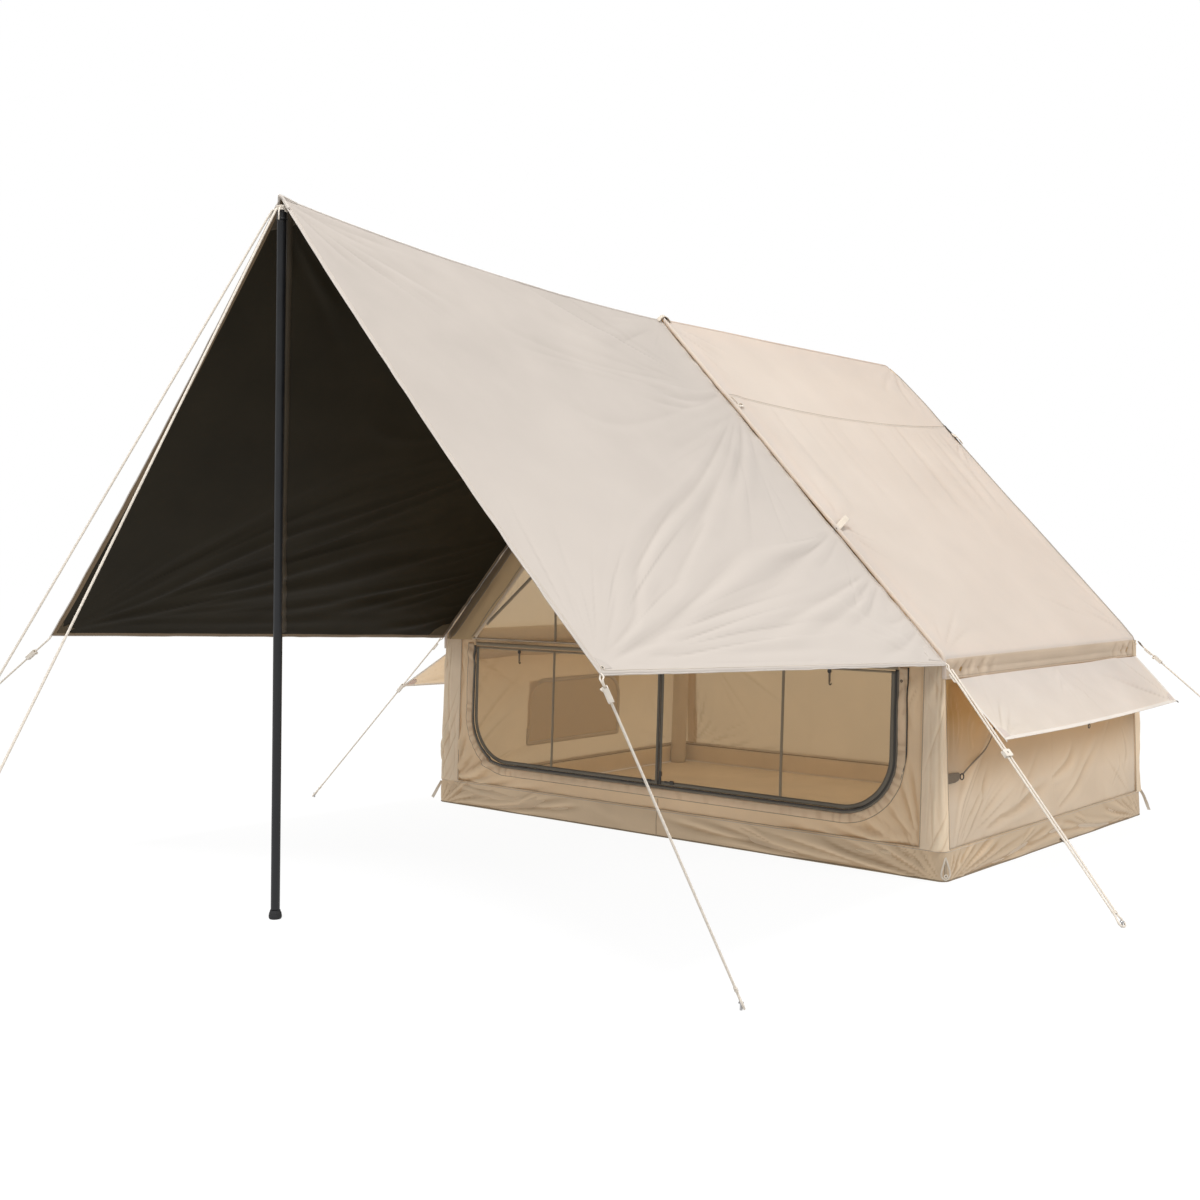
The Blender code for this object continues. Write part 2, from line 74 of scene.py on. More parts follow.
# ------------------------------------------------------------------ camera, floor and light
YAW, PITCH, ROLL = math.radians(40.748), math.radians(-1.618), math.radians(0.196)
fwd = Vector((-math.sin(YAW) * math.cos(PITCH), math.cos(YAW) * math.cos(PITCH), math.sin(PITCH)))
flat_right = fwd.cross(Vector((0, 0, 1))).normalized()
flat_up = flat_right.cross(fwd)
cam_right = flat_right * math.cos(ROLL) + flat_up * math.sin(ROLL)
cam_up = cam_right.cross(fwd)
cam_data = bpy.data.cameras.new("camera")
cam_data.sensor_width = 36.0
cam_data.lens = 1460.9 / 1200 * 36.0
cam_data.clip_end = 200
camera = bpy.data.objects.new("camera", cam_data)
camera.matrix_world = Matrix.Translation((4.2952, -6.4718, 1.3161)) @ Matrix(
    (cam_right, cam_up, -fwd)
).transposed().to_4x4()
scene.collection.objects.link(camera)
scene.camera = camera
scene.view_settings.view_transform = "Standard"

world = bpy.data.worlds.new("studio")
scene.world = world
world.use_nodes = True
# a white studio: a bright wall behind the tent, a soft ceiling, and a dimmer side in front of the door
sky = world.node_tree
backdrop = sky.nodes["Background"]
backdrop.inputs["Color"].default_value = (1.0, 1.0, 1.0, 1.0)
where = sky.nodes.new("ShaderNodeTexCoord")
toward = sky.nodes.new("ShaderNodeVectorMath")
toward.operation = "DOT_PRODUCT"
toward.inputs[1].default_value = (-0.65, 0.76, 0.0)
sky.links.new(where.outputs["Generated"], toward.inputs[0])
rear_wall_light = sky.nodes.new("ShaderNodeMapRange")
rear_wall_light.inputs["From Min"].default_value = 0.50
rear_wall_light.inputs["From Max"].default_value = 0.80
rear_wall_light.inputs["To Min"].default_value = 0.56
rear_wall_light.inputs["To Max"].default_value = 1.02
sky.links.new(toward.outputs["Value"], rear_wall_light.inputs["Value"])
above = sky.nodes.new("ShaderNodeSeparateXYZ")
sky.links.new(where.outputs["Generated"], above.inputs[0])
ceiling = sky.nodes.new("ShaderNodeMapRange")
ceiling.inputs["From Min"].default_value = 0.25
ceiling.inputs["From Max"].default_value = 1.0
ceiling.inputs["To Max"].default_value = 0.16
sky.links.new(above.outputs["Z"], ceiling.inputs["Value"])
total = sky.nodes.new("ShaderNodeMath")
sky.links.new(rear_wall_light.outputs["Result"], total.inputs[0])
sky.links.new(ceiling.outputs["Result"], total.inputs[1])
side_wall = sky.nodes.new("ShaderNodeMapRange")
side_wall.inputs["From Min"].default_value = 0.30
side_wall.inputs["From Max"].default_value = 0.95
side_wall.inputs["To Max"].default_value = -0.22
sky.links.new(above.outputs["X"], side_wall.inputs["Value"])
both = sky.nodes.new("ShaderNodeMath")
sky.links.new(total.outputs[0], both.inputs[0])
sky.links.new(side_wall.outputs["Result"], both.inputs[1])
sky.links.new(both.outputs[0], backdrop.inputs["Strength"])
plain = sky.nodes.new("ShaderNodeBackground")
plain.inputs["Color"].default_value = (1.0, 1.0, 1.0, 1.0)
plain.inputs["Strength"].default_value = 1.0
seen = sky.nodes.new("ShaderNodeLightPath")
either = sky.nodes.new("ShaderNodeMixShader")
sky.links.new(seen.outputs["Is Camera Ray"], either.inputs[0])
sky.links.new(backdrop.outputs[0], either.inputs[1])
sky.links.new(plain.outputs[0], either.inputs[2])
sky.links.new(either.outputs[0], sky.nodes["World Output"].inputs["Surface"])


def area_light(name, at, to, size, power, colour=(1, 1, 1)):
    data = bpy.data.lights.new(name, "AREA")
    data.shape = "DISK"
    data.size = size
    data.energy = power
    data.color = colour
    obj = bpy.data.objects.new(name, data)
    obj.location = at
    obj.rotation_euler = (Vector(to) - Vector(at)).to_track_quat("-Z", "Y").to_euler()
    scene.collection.objects.link(obj)


area_light("key", (1.6, -7.0, 13.6), (0.0, -0.5, 1.0), 3.6, 1430)
area_light("side", (9.6, 0.6, 6.0), (1.2, 0.0, 0.6), 3.6, 320)


# ------------------------------------------------------------------ materials
def tree_of(name):
    mat = bpy.data.materials.new(name)
    mat.use_nodes = True
    tree = mat.node_tree
    return mat, tree, tree.nodes["Principled BSDF"]


def node(tree, kind, **values):
    made = tree.nodes.new(kind)
    for key, value in values.items():
        if key in made.inputs:
            made.inputs[key].default_value = value
        else:
            setattr(made, key, value)
    return made


def mix_colour(tree, factor, a, b, blend="MIX"):
    mix = tree.nodes.new("ShaderNodeMix")
    mix.data_type = "RGBA"
    mix.blend_type = blend
    for socket, value in ((mix.inputs["Factor"], factor), (mix.inputs[6], a), (mix.inputs[7], b)):
        if isinstance(value, bpy.types.NodeSocket):
            tree.links.new(value, socket)
        elif isinstance(value, (tuple, list)):
            socket.default_value = (*value[:3], 1.0)
        else:
            socket.default_value = value
    return mix.outputs[2]


def maths(tree, operation, a, b=0.0, clamp=False):
    m = tree.nodes.new("ShaderNodeMath")
    m.operation = operation
    m.use_clamp = clamp
    for socket, value in ((m.inputs[0], a), (m.inputs[1], b)):
        if isinstance(value, bpy.types.NodeSocket):
            tree.links.new(value, socket)
        else:
            socket.default_value = value
    return m.outputs[0]


def ramp(tree, value, low, high):
    r = tree.nodes.new("ShaderNodeMapRange")
    r.inputs["From Min"].default_value = low
    r.inputs["From Max"].default_value = high
    tree.links.new(value, r.inputs["Value"])
    return r.outputs["Result"]


def woven(name, colour, rough=0.86, glow=0.0, glow_colour=None, thread=0.0011, sheen=0.12, mottle=0.05, weave=0.12, dust=0.0, gloss=0.25, painted_shading=None):
    """Plain-weave cloth. Its threads follow the piece's UV map, which is in metres."""
    mat, tree, shader = tree_of(name)
    uv = node(tree, "ShaderNodeUVMap", uv_map="cloth")
    spot = node(tree, "ShaderNodeTexCoord")
    split = node(tree, "ShaderNodeSeparateXYZ")
    tree.links.new(uv.outputs["UV"], split.inputs[0])
    k = 2 * math.pi / thread
    warp = maths(tree, "SINE", maths(tree, "MULTIPLY", split.outputs[0], k))
    weft = maths(tree, "SINE", maths(tree, "MULTIPLY", split.outputs[1], k))
    threads = maths(tree, "MULTIPLY", warp, weft)
    slub = node(tree, "ShaderNodeTexNoise", Scale=1.0, Detail=3.0, Roughness=0.6)
    stretch = node(tree, "ShaderNodeMapping")
    stretch.inputs["Scale"].default_value = (420, 90, 420)
    tree.links.new(uv.outputs["UV"], stretch.inputs["Vector"])
    tree.links.new(stretch.outputs["Vector"], slub.inputs["Vector"])
    large = node(tree, "ShaderNodeTexNoise", Scale=2.6, Detail=4.0, Roughness=0.55)
    tree.links.new(spot.outputs["Object"], large.inputs["Vector"])
    darker = tuple(c * (1 - 2.2 * mottle) for c in colour)
    lighter = tuple(min(1.0, c * (1 + 1.2 * mottle)) for c in colour)
    tone = mix_colour(tree, ramp(tree, large.outputs["Fac"], 0.3, 0.7), darker, lighter)
    tone = mix_colour(tree, maths(tree, "MULTIPLY", ramp(tree, slub.outputs["Fac"], 0.35, 0.75), 0.18), tone, tuple(c * 0.80 for c in colour))
    tone = mix_colour(tree, maths(tree, "MULTIPLY", ramp(tree, threads, -1.0, 1.0), 0.10), tone, tuple(c * 0.72 for c in colour))
    if dust:
        place = node(tree, "ShaderNodeSeparateXYZ")
        tree.links.new(spot.outputs["Object"], place.inputs[0])
        low = maths(tree, "SUBTRACT", 1.0, ramp(tree, place.outputs[2], 0.0, 0.16), clamp=True)
        tone = mix_colour(tree, maths(tree, "MULTIPLY", low, dust), tone, tuple(c * 0.55 for c in colour))
    # painted shading: a ramp along one axis of the object mixes the colour towards a second tone; a darker one paints
    # shade, a lighter one paints light
    if painted_shading:
        place = node(tree, "ShaderNodeSeparateXYZ")
        tree.links.new(spot.outputs["Object"], place.inputs[0])
        tone = mix_colour(tree, ramp(tree, place.outputs[painted_shading[3]], painted_shading[1], painted_shading[2]), tone, painted_shading[0])
    # painted shade in the creases and painted highlight on the crests: the fold depth darkens hollows and lightens
    # crests
    crease = node(tree, "ShaderNodeAttribute", attribute_name="fold")
    hollow = maths(tree, "MULTIPLY", crease.outputs["Fac"], -0.42, clamp=True)
    crest = maths(tree, "MULTIPLY", crease.outputs["Fac"], 0.20, clamp=True)
    tone = mix_colour(tree, hollow, tone, tuple(c * c * 0.62 for c in colour))
    tone = mix_colour(tree, crest, tone, tuple(min(1.0, c * 1.18 + 0.02) for c in colour))
    tree.links.new(tone, shader.inputs["Base Color"])
    shader.inputs["Roughness"].default_value = rough
    shader.inputs["Specular IOR Level"].default_value = gloss
    shader.inputs["Sheen Weight"].default_value = sheen
    shader.inputs["Sheen Roughness"].default_value = 0.5
    bump = node(tree, "ShaderNodeBump", Strength=weave, Distance=0.0006)
    tree.links.new(maths(tree, "ADD", threads, maths(tree, "MULTIPLY", slub.outputs["Fac"], 2.0)), bump.inputs["Height"])
    tree.links.new(bump.outputs["Normal"], shader.inputs["Normal"])
    if glow:
        through = node(tree, "ShaderNodeBsdfTranslucent")
        through.inputs["Color"].default_value = (*(glow_colour or colour), 1.0)
        mix = node(tree, "ShaderNodeMixShader")
        mix.inputs[0].default_value = glow
        tree.links.new(shader.outputs[0], mix.inputs[1])
        tree.links.new(through.outputs[0], mix.inputs[2])
        tree.links.new(mix.outputs[0], tree.nodes["Material Output"].inputs["Surface"])
    return mat


def netting(name, colour, alpha, cell=0.0016):
    """Fine insect mesh: see-through, with its threads drawn in colour."""
    mat, tree, shader = tree_of(name)
    uv = node(tree, "ShaderNodeUVMap", uv_map="cloth")
    split = node(tree, "ShaderNodeSeparateXYZ")
    tree.links.new(uv.outputs["UV"], split.inputs[0])
    k = 2 * math.pi / cell
    warp = maths(tree, "SINE", maths(tree, "MULTIPLY", split.outputs[0], k))
    weft = maths(tree, "SINE", maths(tree, "MULTIPLY", split.outputs[1], k))
    net = ramp(tree, maths(tree, "MAXIMUM", warp, weft), 0.0, 1.0)
    tone = mix_colour(tree, net, tuple(c * 0.93 for c in colour), tuple(c * 1.06 for c in colour))
    tree.links.new(tone, shader.inputs["Base Color"])
    shader.inputs["Roughness"].default_value = 0.75
    shader.inputs["Specular IOR Level"].default_value = 0.2
    shader.inputs["Alpha"].default_value = alpha
    bump = node(tree, "ShaderNodeBump", Strength=0.04, Distance=0.0002)
    tree.links.new(net, bump.inputs["Height"])
    tree.links.new(bump.outputs["Normal"], shader.inputs["Normal"])
    return mat


def moulded(name, colour, rough, metallic=0.0, grain=0.05, scale=220.0, coat=0.0):
    """Plastic, rubber or metal with a fine grain and slight changes of gloss."""
    mat, tree, shader = tree_of(name)
    spot = node(tree, "ShaderNodeTexCoord")
    fine = node(tree, "ShaderNodeTexNoise", Scale=scale, Detail=3.0)
    broad = node(tree, "ShaderNodeTexNoise", Scale=14.0, Detail=3.0)
    tree.links.new(spot.outputs["Object"], fine.inputs["Vector"])
    tree.links.new(spot.outputs["Object"], broad.inputs["Vector"])
    tone = mix_colour(tree, ramp(tree, broad.outputs["Fac"], 0.3, 0.7), tuple(c * 0.86 for c in colour), tuple(min(1, c * 1.1) for c in colour))
    tree.links.new(tone, shader.inputs["Base Color"])
    wear = node(tree, "ShaderNodeMapRange")
    wear.inputs["To Min"].default_value = rough * 0.85
    wear.inputs["To Max"].default_value = min(1.0, rough * 1.2)
    tree.links.new(broad.outputs["Fac"], wear.inputs["Value"])
    tree.links.new(wear.outputs["Result"], shader.inputs["Roughness"])
    shader.inputs["Metallic"].default_value = metallic
    shader.inputs["Coat Weight"].default_value = coat
    bump = node(tree, "ShaderNodeBump", Strength=grain, Distance=0.0004)
    tree.links.new(fine.outputs["Fac"], bump.inputs["Height"])
    tree.links.new(bump.outputs["Normal"], shader.inputs["Normal"])
    return mat


GLOW = (1.0, 0.76, 0.47)
ROOF = woven("roof_cloth", (0.742, 0.692, 0.636), glow=0.34, glow_colour=GLOW, mottle=0.028)
WALL = woven("wall_cloth", (0.84, 0.735, 0.590), glow=0.30, glow_colour=GLOW, dust=0.12)
# painted shade: a copy of the wall cloth for the right-hand wall, darker and more orange from 0.30 m up to 0.68 m, for
# the shade under the canopy flap
RIGHT_WALL_PAINTED_SHADE = woven("side_wall_cloth", (0.84, 0.735, 0.590), glow=0.30, glow_colour=GLOW, dust=0.12, painted_shading=((0.385, 0.226, 0.074), 0.30, 0.68, 2))
# painted shade: the door wall and its storm flap darken towards the top, from 0.76 m to 0.90 m, for the awning's shadow
DOOR_WALL = woven("door_wall_cloth", (0.885, 0.710, 0.500), glow=0.30, glow_colour=GLOW, dust=0.12, painted_shading=((0.660, 0.510, 0.345), 0.76, 0.90, 2))
# painted shade: the sleeves and gable tapes darken towards the top, from 0.72 m to 0.90 m, for the shade under the
# awning and eaves
SLEEVE = woven("sleeve_cloth", (0.95, 0.785, 0.585), glow=0.20, glow_colour=GLOW, dust=0.12, painted_shading=((0.660, 0.520, 0.370), 0.72, 0.90, 2))
# painted shade: the skirt turns darker towards the right-hand side, between x 1.43 m and 1.50 m
SKIRT = woven("skirt_cloth", (0.80, 0.600, 0.395), rough=0.66, sheen=0.1, glow=0.05, glow_colour=GLOW, dust=0.25, painted_shading=((0.600, 0.463, 0.318), 1.43, 1.50, 0))
BAND = woven("eave_cloth", (0.62, 0.495, 0.37), glow=0.12, glow_colour=GLOW)
FLAP = woven("flap_cloth", (0.80, 0.795, 0.760), glow=0.42, glow_colour=(0.86, 0.56, 0.27))
INNER = woven("inner_cloth", (0.80, 0.665, 0.51), glow=0.15, glow_colour=GLOW)
FLOOR = woven("floor_cloth", (0.93, 0.78, 0.585), rough=0.6, thread=0.0016)
# painted light: the awning's outer cloth turns lighter from 2.05 m down to 1.00 m, towards its lower edge
AWN_OUT = woven("awning_outer", (0.475, 0.423, 0.377), rough=0.78, thread=0.0009, mottle=0.03, painted_shading=((0.530, 0.474, 0.424), 2.05, 1.00, 2))
AWN_IN = woven("awning_coating", (0.0215, 0.0166, 0.0086), rough=0.60, sheen=0.0, weave=0.06, thread=0.0009, mottle=0.10, gloss=0.10)
HEM_OUT = woven("hem_light", (0.62, 0.565, 0.51), weave=0.25)
HEM_FLAT = woven("awning_hem", (0.53, 0.474, 0.424), rough=0.78, thread=0.0009, mottle=0.03)
FLAP_HEM = woven("flap_hem", (0.74, 0.69, 0.63), glow=0.12, glow_colour=GLOW)
HEM_IN = woven("hem_tan", (0.20, 0.138, 0.080), weave=0.25)
TAPE_IN = woven("seam_tape_dark", (0.066, 0.053, 0.036), rough=0.6, sheen=0.0, gloss=0.12)
PATCH_IN = woven("patch_tan", (0.100, 0.075, 0.045), weave=0.25, sheen=0.0, gloss=0.1)
TAPE = woven("tape_brown", (0.30, 0.23, 0.15), rough=0.7, weave=0.4, thread=0.0018)
ZIP_TAPE = woven("zip_tape", (0.200, 0.171, 0.132), rough=0.7, weave=0.4, thread=0.0014, sheen=0.04)
PIPING = woven("piping_grey", (0.36, 0.31, 0.26), rough=0.7)
WEBBING = woven("webbing_cream", (0.74, 0.65, 0.54), rough=0.8, weave=0.5, thread=0.0022)
MESH = netting("insect_mesh", (0.50, 0.37, 0.235), 0.32)
WINDOW = netting("window_mesh", (0.65, 0.52, 0.345), 0.985)
SEAM = woven("seam_tan", (0.46, 0.36, 0.255), rough=0.8, weave=0.4)
SEAM_TAN = woven("seam_roof", (0.52, 0.43, 0.33), rough=0.8, weave=0.4)
SEAM_LIGHT = woven("seam_light", (0.66, 0.58, 0.49), rough=0.8, weave=0.4)
STRAP = woven("strap_brown", (0.205, 0.155, 0.105), rough=0.75, weave=0.6, thread=0.0020)
BLACK = moulded("pole_black", (0.010, 0.011, 0.013), 0.40, 0.0, coat=0.12)
RUBBER = moulded("foot_rubber", (0.02, 0.02, 0.021), 0.7, grain=0.2)
COIL = moulded("zip_coil", (0.045, 0.038, 0.030), 0.5)
CREAM = moulded("fitting_cream", (0.74, 0.67, 0.58), 0.42)
DARK = moulded("toggle_dark", (0.055, 0.045, 0.035), 0.55)
VALVE = moulded("valve_grey", (0.09, 0.09, 0.09), 0.5)
BLACK.node_tree.nodes["Principled BSDF"].inputs["Specular IOR Level"].default_value = 0.46
# painted shade: the rafter sleeves under the awning get a darker, warmer copy of the sleeve cloth, and a near-black
# strip paints the shadow under the roof's front overhang
GABLE_SLEEVE_PAINTED_SHADE = woven("gable_sleeve_cloth", (0.44, 0.315, 0.175), glow=0.16, glow_colour=(0.9, 0.62, 0.33))
GABLE_EDGE_PAINTED_SHADOW = woven("gable_edge_cloth", (0.20, 0.135, 0.070), glow=0.08, glow_colour=(0.9, 0.6, 0.3))
STEEL = moulded("peg_steel", (0.50, 0.50, 0.51), 0.35, 1.0)
ROPE_A = woven("rope_cream", (0.80, 0.725, 0.63), rough=0.9, thread=0.0012, weave=0.3)
ROPE_B = woven("rope_tan", (0.76, 0.68, 0.585), rough=0.9, thread=0.0012, weave=0.3)


# ------------------------------------------------------------------ mesh helpers
def smoothstep(x, low, high):
    q = np.clip((x - low) / (high - low), 0.0, 1.0)
    return q * q * (3 - 2 * q)


def value_noise(x, y, seed):
    """Smooth noise from -1 to 1, one cell to each unit."""
    table = np.random.RandomState(seed).uniform(-1, 1, (64, 64))
    xi, yi = np.floor(x).astype(int), np.floor(y).astype(int)
    fx, fy = x - xi, y - yi
    fx, fy = fx * fx * fx * (fx * (fx * 6 - 15) + 10), fy * fy * fy * (fy * (fy * 6 - 15) + 10)
    a, b = table[xi % 64, yi % 64], table[(xi + 1) % 64, yi % 64]
    c, d = table[xi % 64, (yi + 1) % 64], table[(xi + 1) % 64, (yi + 1) % 64]
    return (a * (1 - fx) + b * fx) * (1 - fy) + (c * (1 - fx) + d * fx) * fy


def fold(S, T, a, b, width, height, bend=0.0, grow=0.8):
    """One soft fold from a to b that widens on its way, with a hollow along one side."""
    a, b = np.array(a, float), np.array(b, float)
    along = b - a
    length = np.linalg.norm(along)
    along /= length
    q = ((S - a[0]) * along[0] + (T - a[1]) * along[1]) / length
    d = -(S - a[0]) * along[1] + (T - a[1]) * along[0] - bend * length * np.sin(np.pi * np.clip(q, 0, 1))
    w = width * (0.35 + grow * np.clip(q, 0, 1))
    body = np.exp(-((d / w) ** 2)) - 0.62 * np.exp(-(((d - 1.5 * w) / (1.15 * w)) ** 2))
    ends = smoothstep(q, -0.02, 0.10) * (1 - smoothstep(q, 0.45, 1.0))
    return height * body * ends


def fan(S, T, apex, start, end, count, length, height, seed, bend=0.0, least=0.012):
    """Folds that run out from one pulled point, between two directions in degrees. bend turns them, degrees a metre."""
    x, y = S - apex[0], T - apex[1]
    r = np.hypot(x, y)
    turn = (np.degrees(np.arctan2(y, x)) - bend * r - start + 180.0) % 360.0 - 180.0
    span = end - start
    u = turn / span
    line = 1.5 * value_noise(u * count + 7.3, r / length * 1.2 + 3.1, seed)
    sharp = np.sqrt(line * line + 0.006)
    profile = 0.50 * line + 0.85 * (sharp - 0.42)
    reach = length * (0.80 + 0.34 * value_noise(u * count * 0.9 + 11.7, 0 * r + 0.5, seed + 501))
    grow = np.clip(r / (0.25 * length), 0.0, 1.0)
    fade = 1 - smoothstep(r / reach, 0.35, 1.0)
    fine = smoothstep(r * math.radians(abs(span)) / count, 0.5 * least, 2.0 * least)
    window = smoothstep(u, -0.02, 0.16) * (1 - smoothstep(u, 0.84, 1.02))
    return height * profile * grow * fade * fine * window


def drapes(S, T, turn, across, along, height, seed):
    """Loose folds that run one way, turn degrees from S, across wide and along long."""
    c, s = math.cos(math.radians(turn)), math.sin(math.radians(turn))
    u, v = S * c + T * s, T * c - S * s
    line = 1.5 * value_noise(v / across + 0.35 * np.sin(u / along * 2.1) + 5.2, u / along + 9.4, seed)
    return height * (0.5 * line + 0.8 * (np.sqrt(line * line + 0.01) - 0.42))


def smooth_curve(points, count):
    """A smooth run of points through a few given ones."""
    p = np.asarray(points, float)
    p = np.vstack([2 * p[0] - p[1], p, 2 * p[-1] - p[-2]])
    out = []
    for i in range(1, len(p) - 2):
        for q in np.linspace(0, 1, count, endpoint=False):
            a, b, c, d = p[i - 1], p[i], p[i + 1], p[i + 2]
            out.append(0.5 * (2 * b + (c - a) * q + (2 * a - 5 * b + 4 * c - d) * q * q + (3 * b - a - 3 * c + d) * q**3))
    out.append(p[-2])
    return np.array(out)


def creases(S, T, table, slope, least=0.0):
    """Valleys with raised sides along given lines: (points, width, strength). The first point is the pulled one."""
    S, T = np.broadcast_arrays(np.asarray(S, float), np.asarray(T, float))
    x, y = S.ravel()[:, None], T.ravel()[:, None]
    total = np.zeros(x.shape[0])
    for n, (points, width, strong) in enumerate(table):
        curve = smooth_curve(points, 7)
        a, ab = curve[:-1], np.diff(curve, axis=0)
        length = np.linalg.norm(ab, axis=1)
        run = np.concatenate([[0], np.cumsum(length)])
        k = np.clip(((x - a[:, 0]) * ab[:, 0] + (y - a[:, 1]) * ab[:, 1]) / length**2, 0, 1)
        dx, dy = x - a[:, 0] - k * ab[:, 0], y - a[:, 1] - k * ab[:, 1]
        far = dx * dx + dy * dy
        j = np.argmin(far, axis=1)
        row = np.arange(len(j))
        q = (run[j] + k[row, j] * length[j]) / run[-1]
        hand = np.sign(ab[j, 0] * dy[row, j] - ab[j, 1] * dx[row, j])
        d = np.sqrt(far[row, j])
        high = width * (0.38 + 0.80 * q)
        w = np.maximum(high, least)
        lean = 0.30 * math.sin(5.1 * n + 1.0)
        valley = -np.exp(-((d / w) ** 2)) + (0.52 + lean * hand) * np.exp(-(((d - 2.0 * w) / (1.25 * w)) ** 2))
        ends = smoothstep(q, 0.0, 0.10) * (1 - smoothstep(q, 0.62, 1.0))
        total += slope * strong * high * valley * ends
    return total.reshape(S.shape)


def lines(low, high, step, extra=()):
    """Grid lines from low to high about step apart, with close sets of lines at the places in extra."""
    count = max(2, int(math.ceil((high - low) / step)) + 1)
    found = list(np.linspace(low, high, count))
    for at in extra:
        keep = [x for x in found if abs(x - at) > 0.011 or x in (low, high)]
        found = keep + [x for x in (at - 0.008, at - 0.0035, at, at + 0.0035, at + 0.008) if low < x < high]
    found = sorted(set(round(x, 6) for x in found))
    return np.array(found)


def link(obj, mats):
    for mat in mats:
        obj.data.materials.append(mat)
    looks.objects.link(obj)
    return obj


def build(name, verts, faces, mats, uvs=None, indices=None, smooth=True):
    me = bpy.data.meshes.new(name)
    me.from_pydata(np.asarray(verts, float).reshape(-1, 3).tolist(), [], [tuple(int(i) for i in f) for f in faces])
    if uvs is not None:
        layer = me.uv_layers.new(name="cloth")
        loops = np.empty(len(me.loops), np.int32)
        me.loops.foreach_get("vertex_index", loops)
        layer.data.foreach_set("uv", np.asarray(uvs, np.float32)[loops].ravel())
    if indices is not None:
        me.polygons.foreach_set("material_index", np.asarray(indices, np.int32))
    me.polygons.foreach_set("use_smooth", np.full(len(me.polygons), smooth))
    me.update()
    return link(bpy.data.objects.new(name, me), mats)


def grid_faces(nu, nv, wrap=False, flip=False):
    i, j = np.meshgrid(np.arange(nu if wrap else nu - 1), np.arange(nv - 1), indexing="ij")
    k = (i + 1) % nu
    quad = np.stack([i * nv + j, k * nv + j, k * nv + j + 1, i * nv + j + 1], -1).reshape(-1, 4)
    return quad[:, ::-1] if flip else quad


def shell(obj, thickness, inner=None, rim=None, offset=-1.0):
    """Gives an open sheet its thickness, behind its outer face. inner and rim are material slots."""
    if not thickness:
        return obj
    mod = obj.modifiers.new("thickness", "SOLIDIFY")
    mod.thickness = thickness
    mod.offset = offset
    mod.use_even_offset = False
    if inner is not None:
        mod.material_offset = inner
    if rim is not None:
        mod.material_offset_rim = rim
    return obj


def mark_folds(obj, relief, S, T, reach=1, strong=0.0016):
    """Writes how far each point of a grid lies in a crease (negative) or on a crest (positive), -1 to 1, which paints
    crease shade and crest highlight into the cloth's colour.
    """
    high = np.asarray(relief(np.asarray(S, float), np.asarray(T, float)))
    wide = np.pad(high, reach, mode="edge")
    n, m = high.shape
    around = sum(wide[reach + a : reach + a + n, reach + b : reach + b + m] for a, b in ((-reach, 0), (reach, 0), (0, -reach), (0, reach))) / 4
    painted_shading = np.clip((high - around) / strong, -1.0, 1.0)
    layer = obj.data.attributes.new("fold", "FLOAT", "POINT")
    layer.data.foreach_set("value", np.ascontiguousarray(painted_shading.ravel(), np.float32))


class Surface:
    """base(S, T) gives points. relief(S, T) is added along the normal, on the side that outward names."""

    def __init__(self, base, relief=None, outward=(0, 0, 1)):
        self.base, self.relief = base, relief
        e = 1e-3
        s, t = np.array([0.5]), np.array([0.5])
        self.sign = 1.0
        self.outward = np.array(outward, float)

    def normal(self, S, T):
        e = 1e-3
        a = self.base(S + e, T) - self.base(S - e, T)
        b = self.base(S, T + e) - self.base(S, T - e)
        n = np.cross(a, b)
        n /= np.maximum(np.linalg.norm(n, axis=-1, keepdims=True), 1e-12)
        side = np.sign((n * self.outward).sum(-1, keepdims=True))
        side[side == 0] = 1
        return n * side

    def at(self, S, T, lift=0.0):
        S, T = np.asarray(S, float), np.asarray(T, float)
        out = lift + (self.relief(S, T) if self.relief else 0.0)
        return self.base(S, T) + self.normal(S, T) * np.asarray(out)[..., None]

    def faces_out(self, S, T):
        e = 1e-3
        s, t = np.array([S]), np.array([T])
        n = np.cross(self.base(s + e, t) - self.base(s - e, t), self.base(s, t + e) - self.base(s, t - e))
        return float((n[0] * self.outward).sum()) > 0


def cloth(name, surface, S, T, mats, thickness=0.002, inner=None, rim=None, lift=0.0, pick=None, keep=None, marks=0.0016):
    """A sheet over the grid lines S and T. pick(S, T) gives each face's material, keep(S, T) says which stay."""
    SS, TT = np.meshgrid(S, T, indexing="ij")
    points = surface.at(SS, TT, lift)
    flip = not surface.faces_out(S[len(S) // 2], T[len(T) // 2])
    faces = grid_faces(len(S), len(T), flip=flip)
    mid_s = SS.ravel()[faces].mean(1)
    mid_t = TT.ravel()[faces].mean(1)
    indices = pick(mid_s, mid_t).astype(int) if pick else None
    if keep is not None:
        chosen = keep(mid_s, mid_t)
        faces = faces[chosen]
        indices = indices[chosen] if indices is not None else None
    obj = build(name, points, faces, mats, np.stack([SS.ravel(), TT.ravel()], 1), indices)
    if surface.relief:
        mark_folds(obj, surface.relief, SS, TT, 1, marks)
    return shell(obj, thickness, inner, rim)


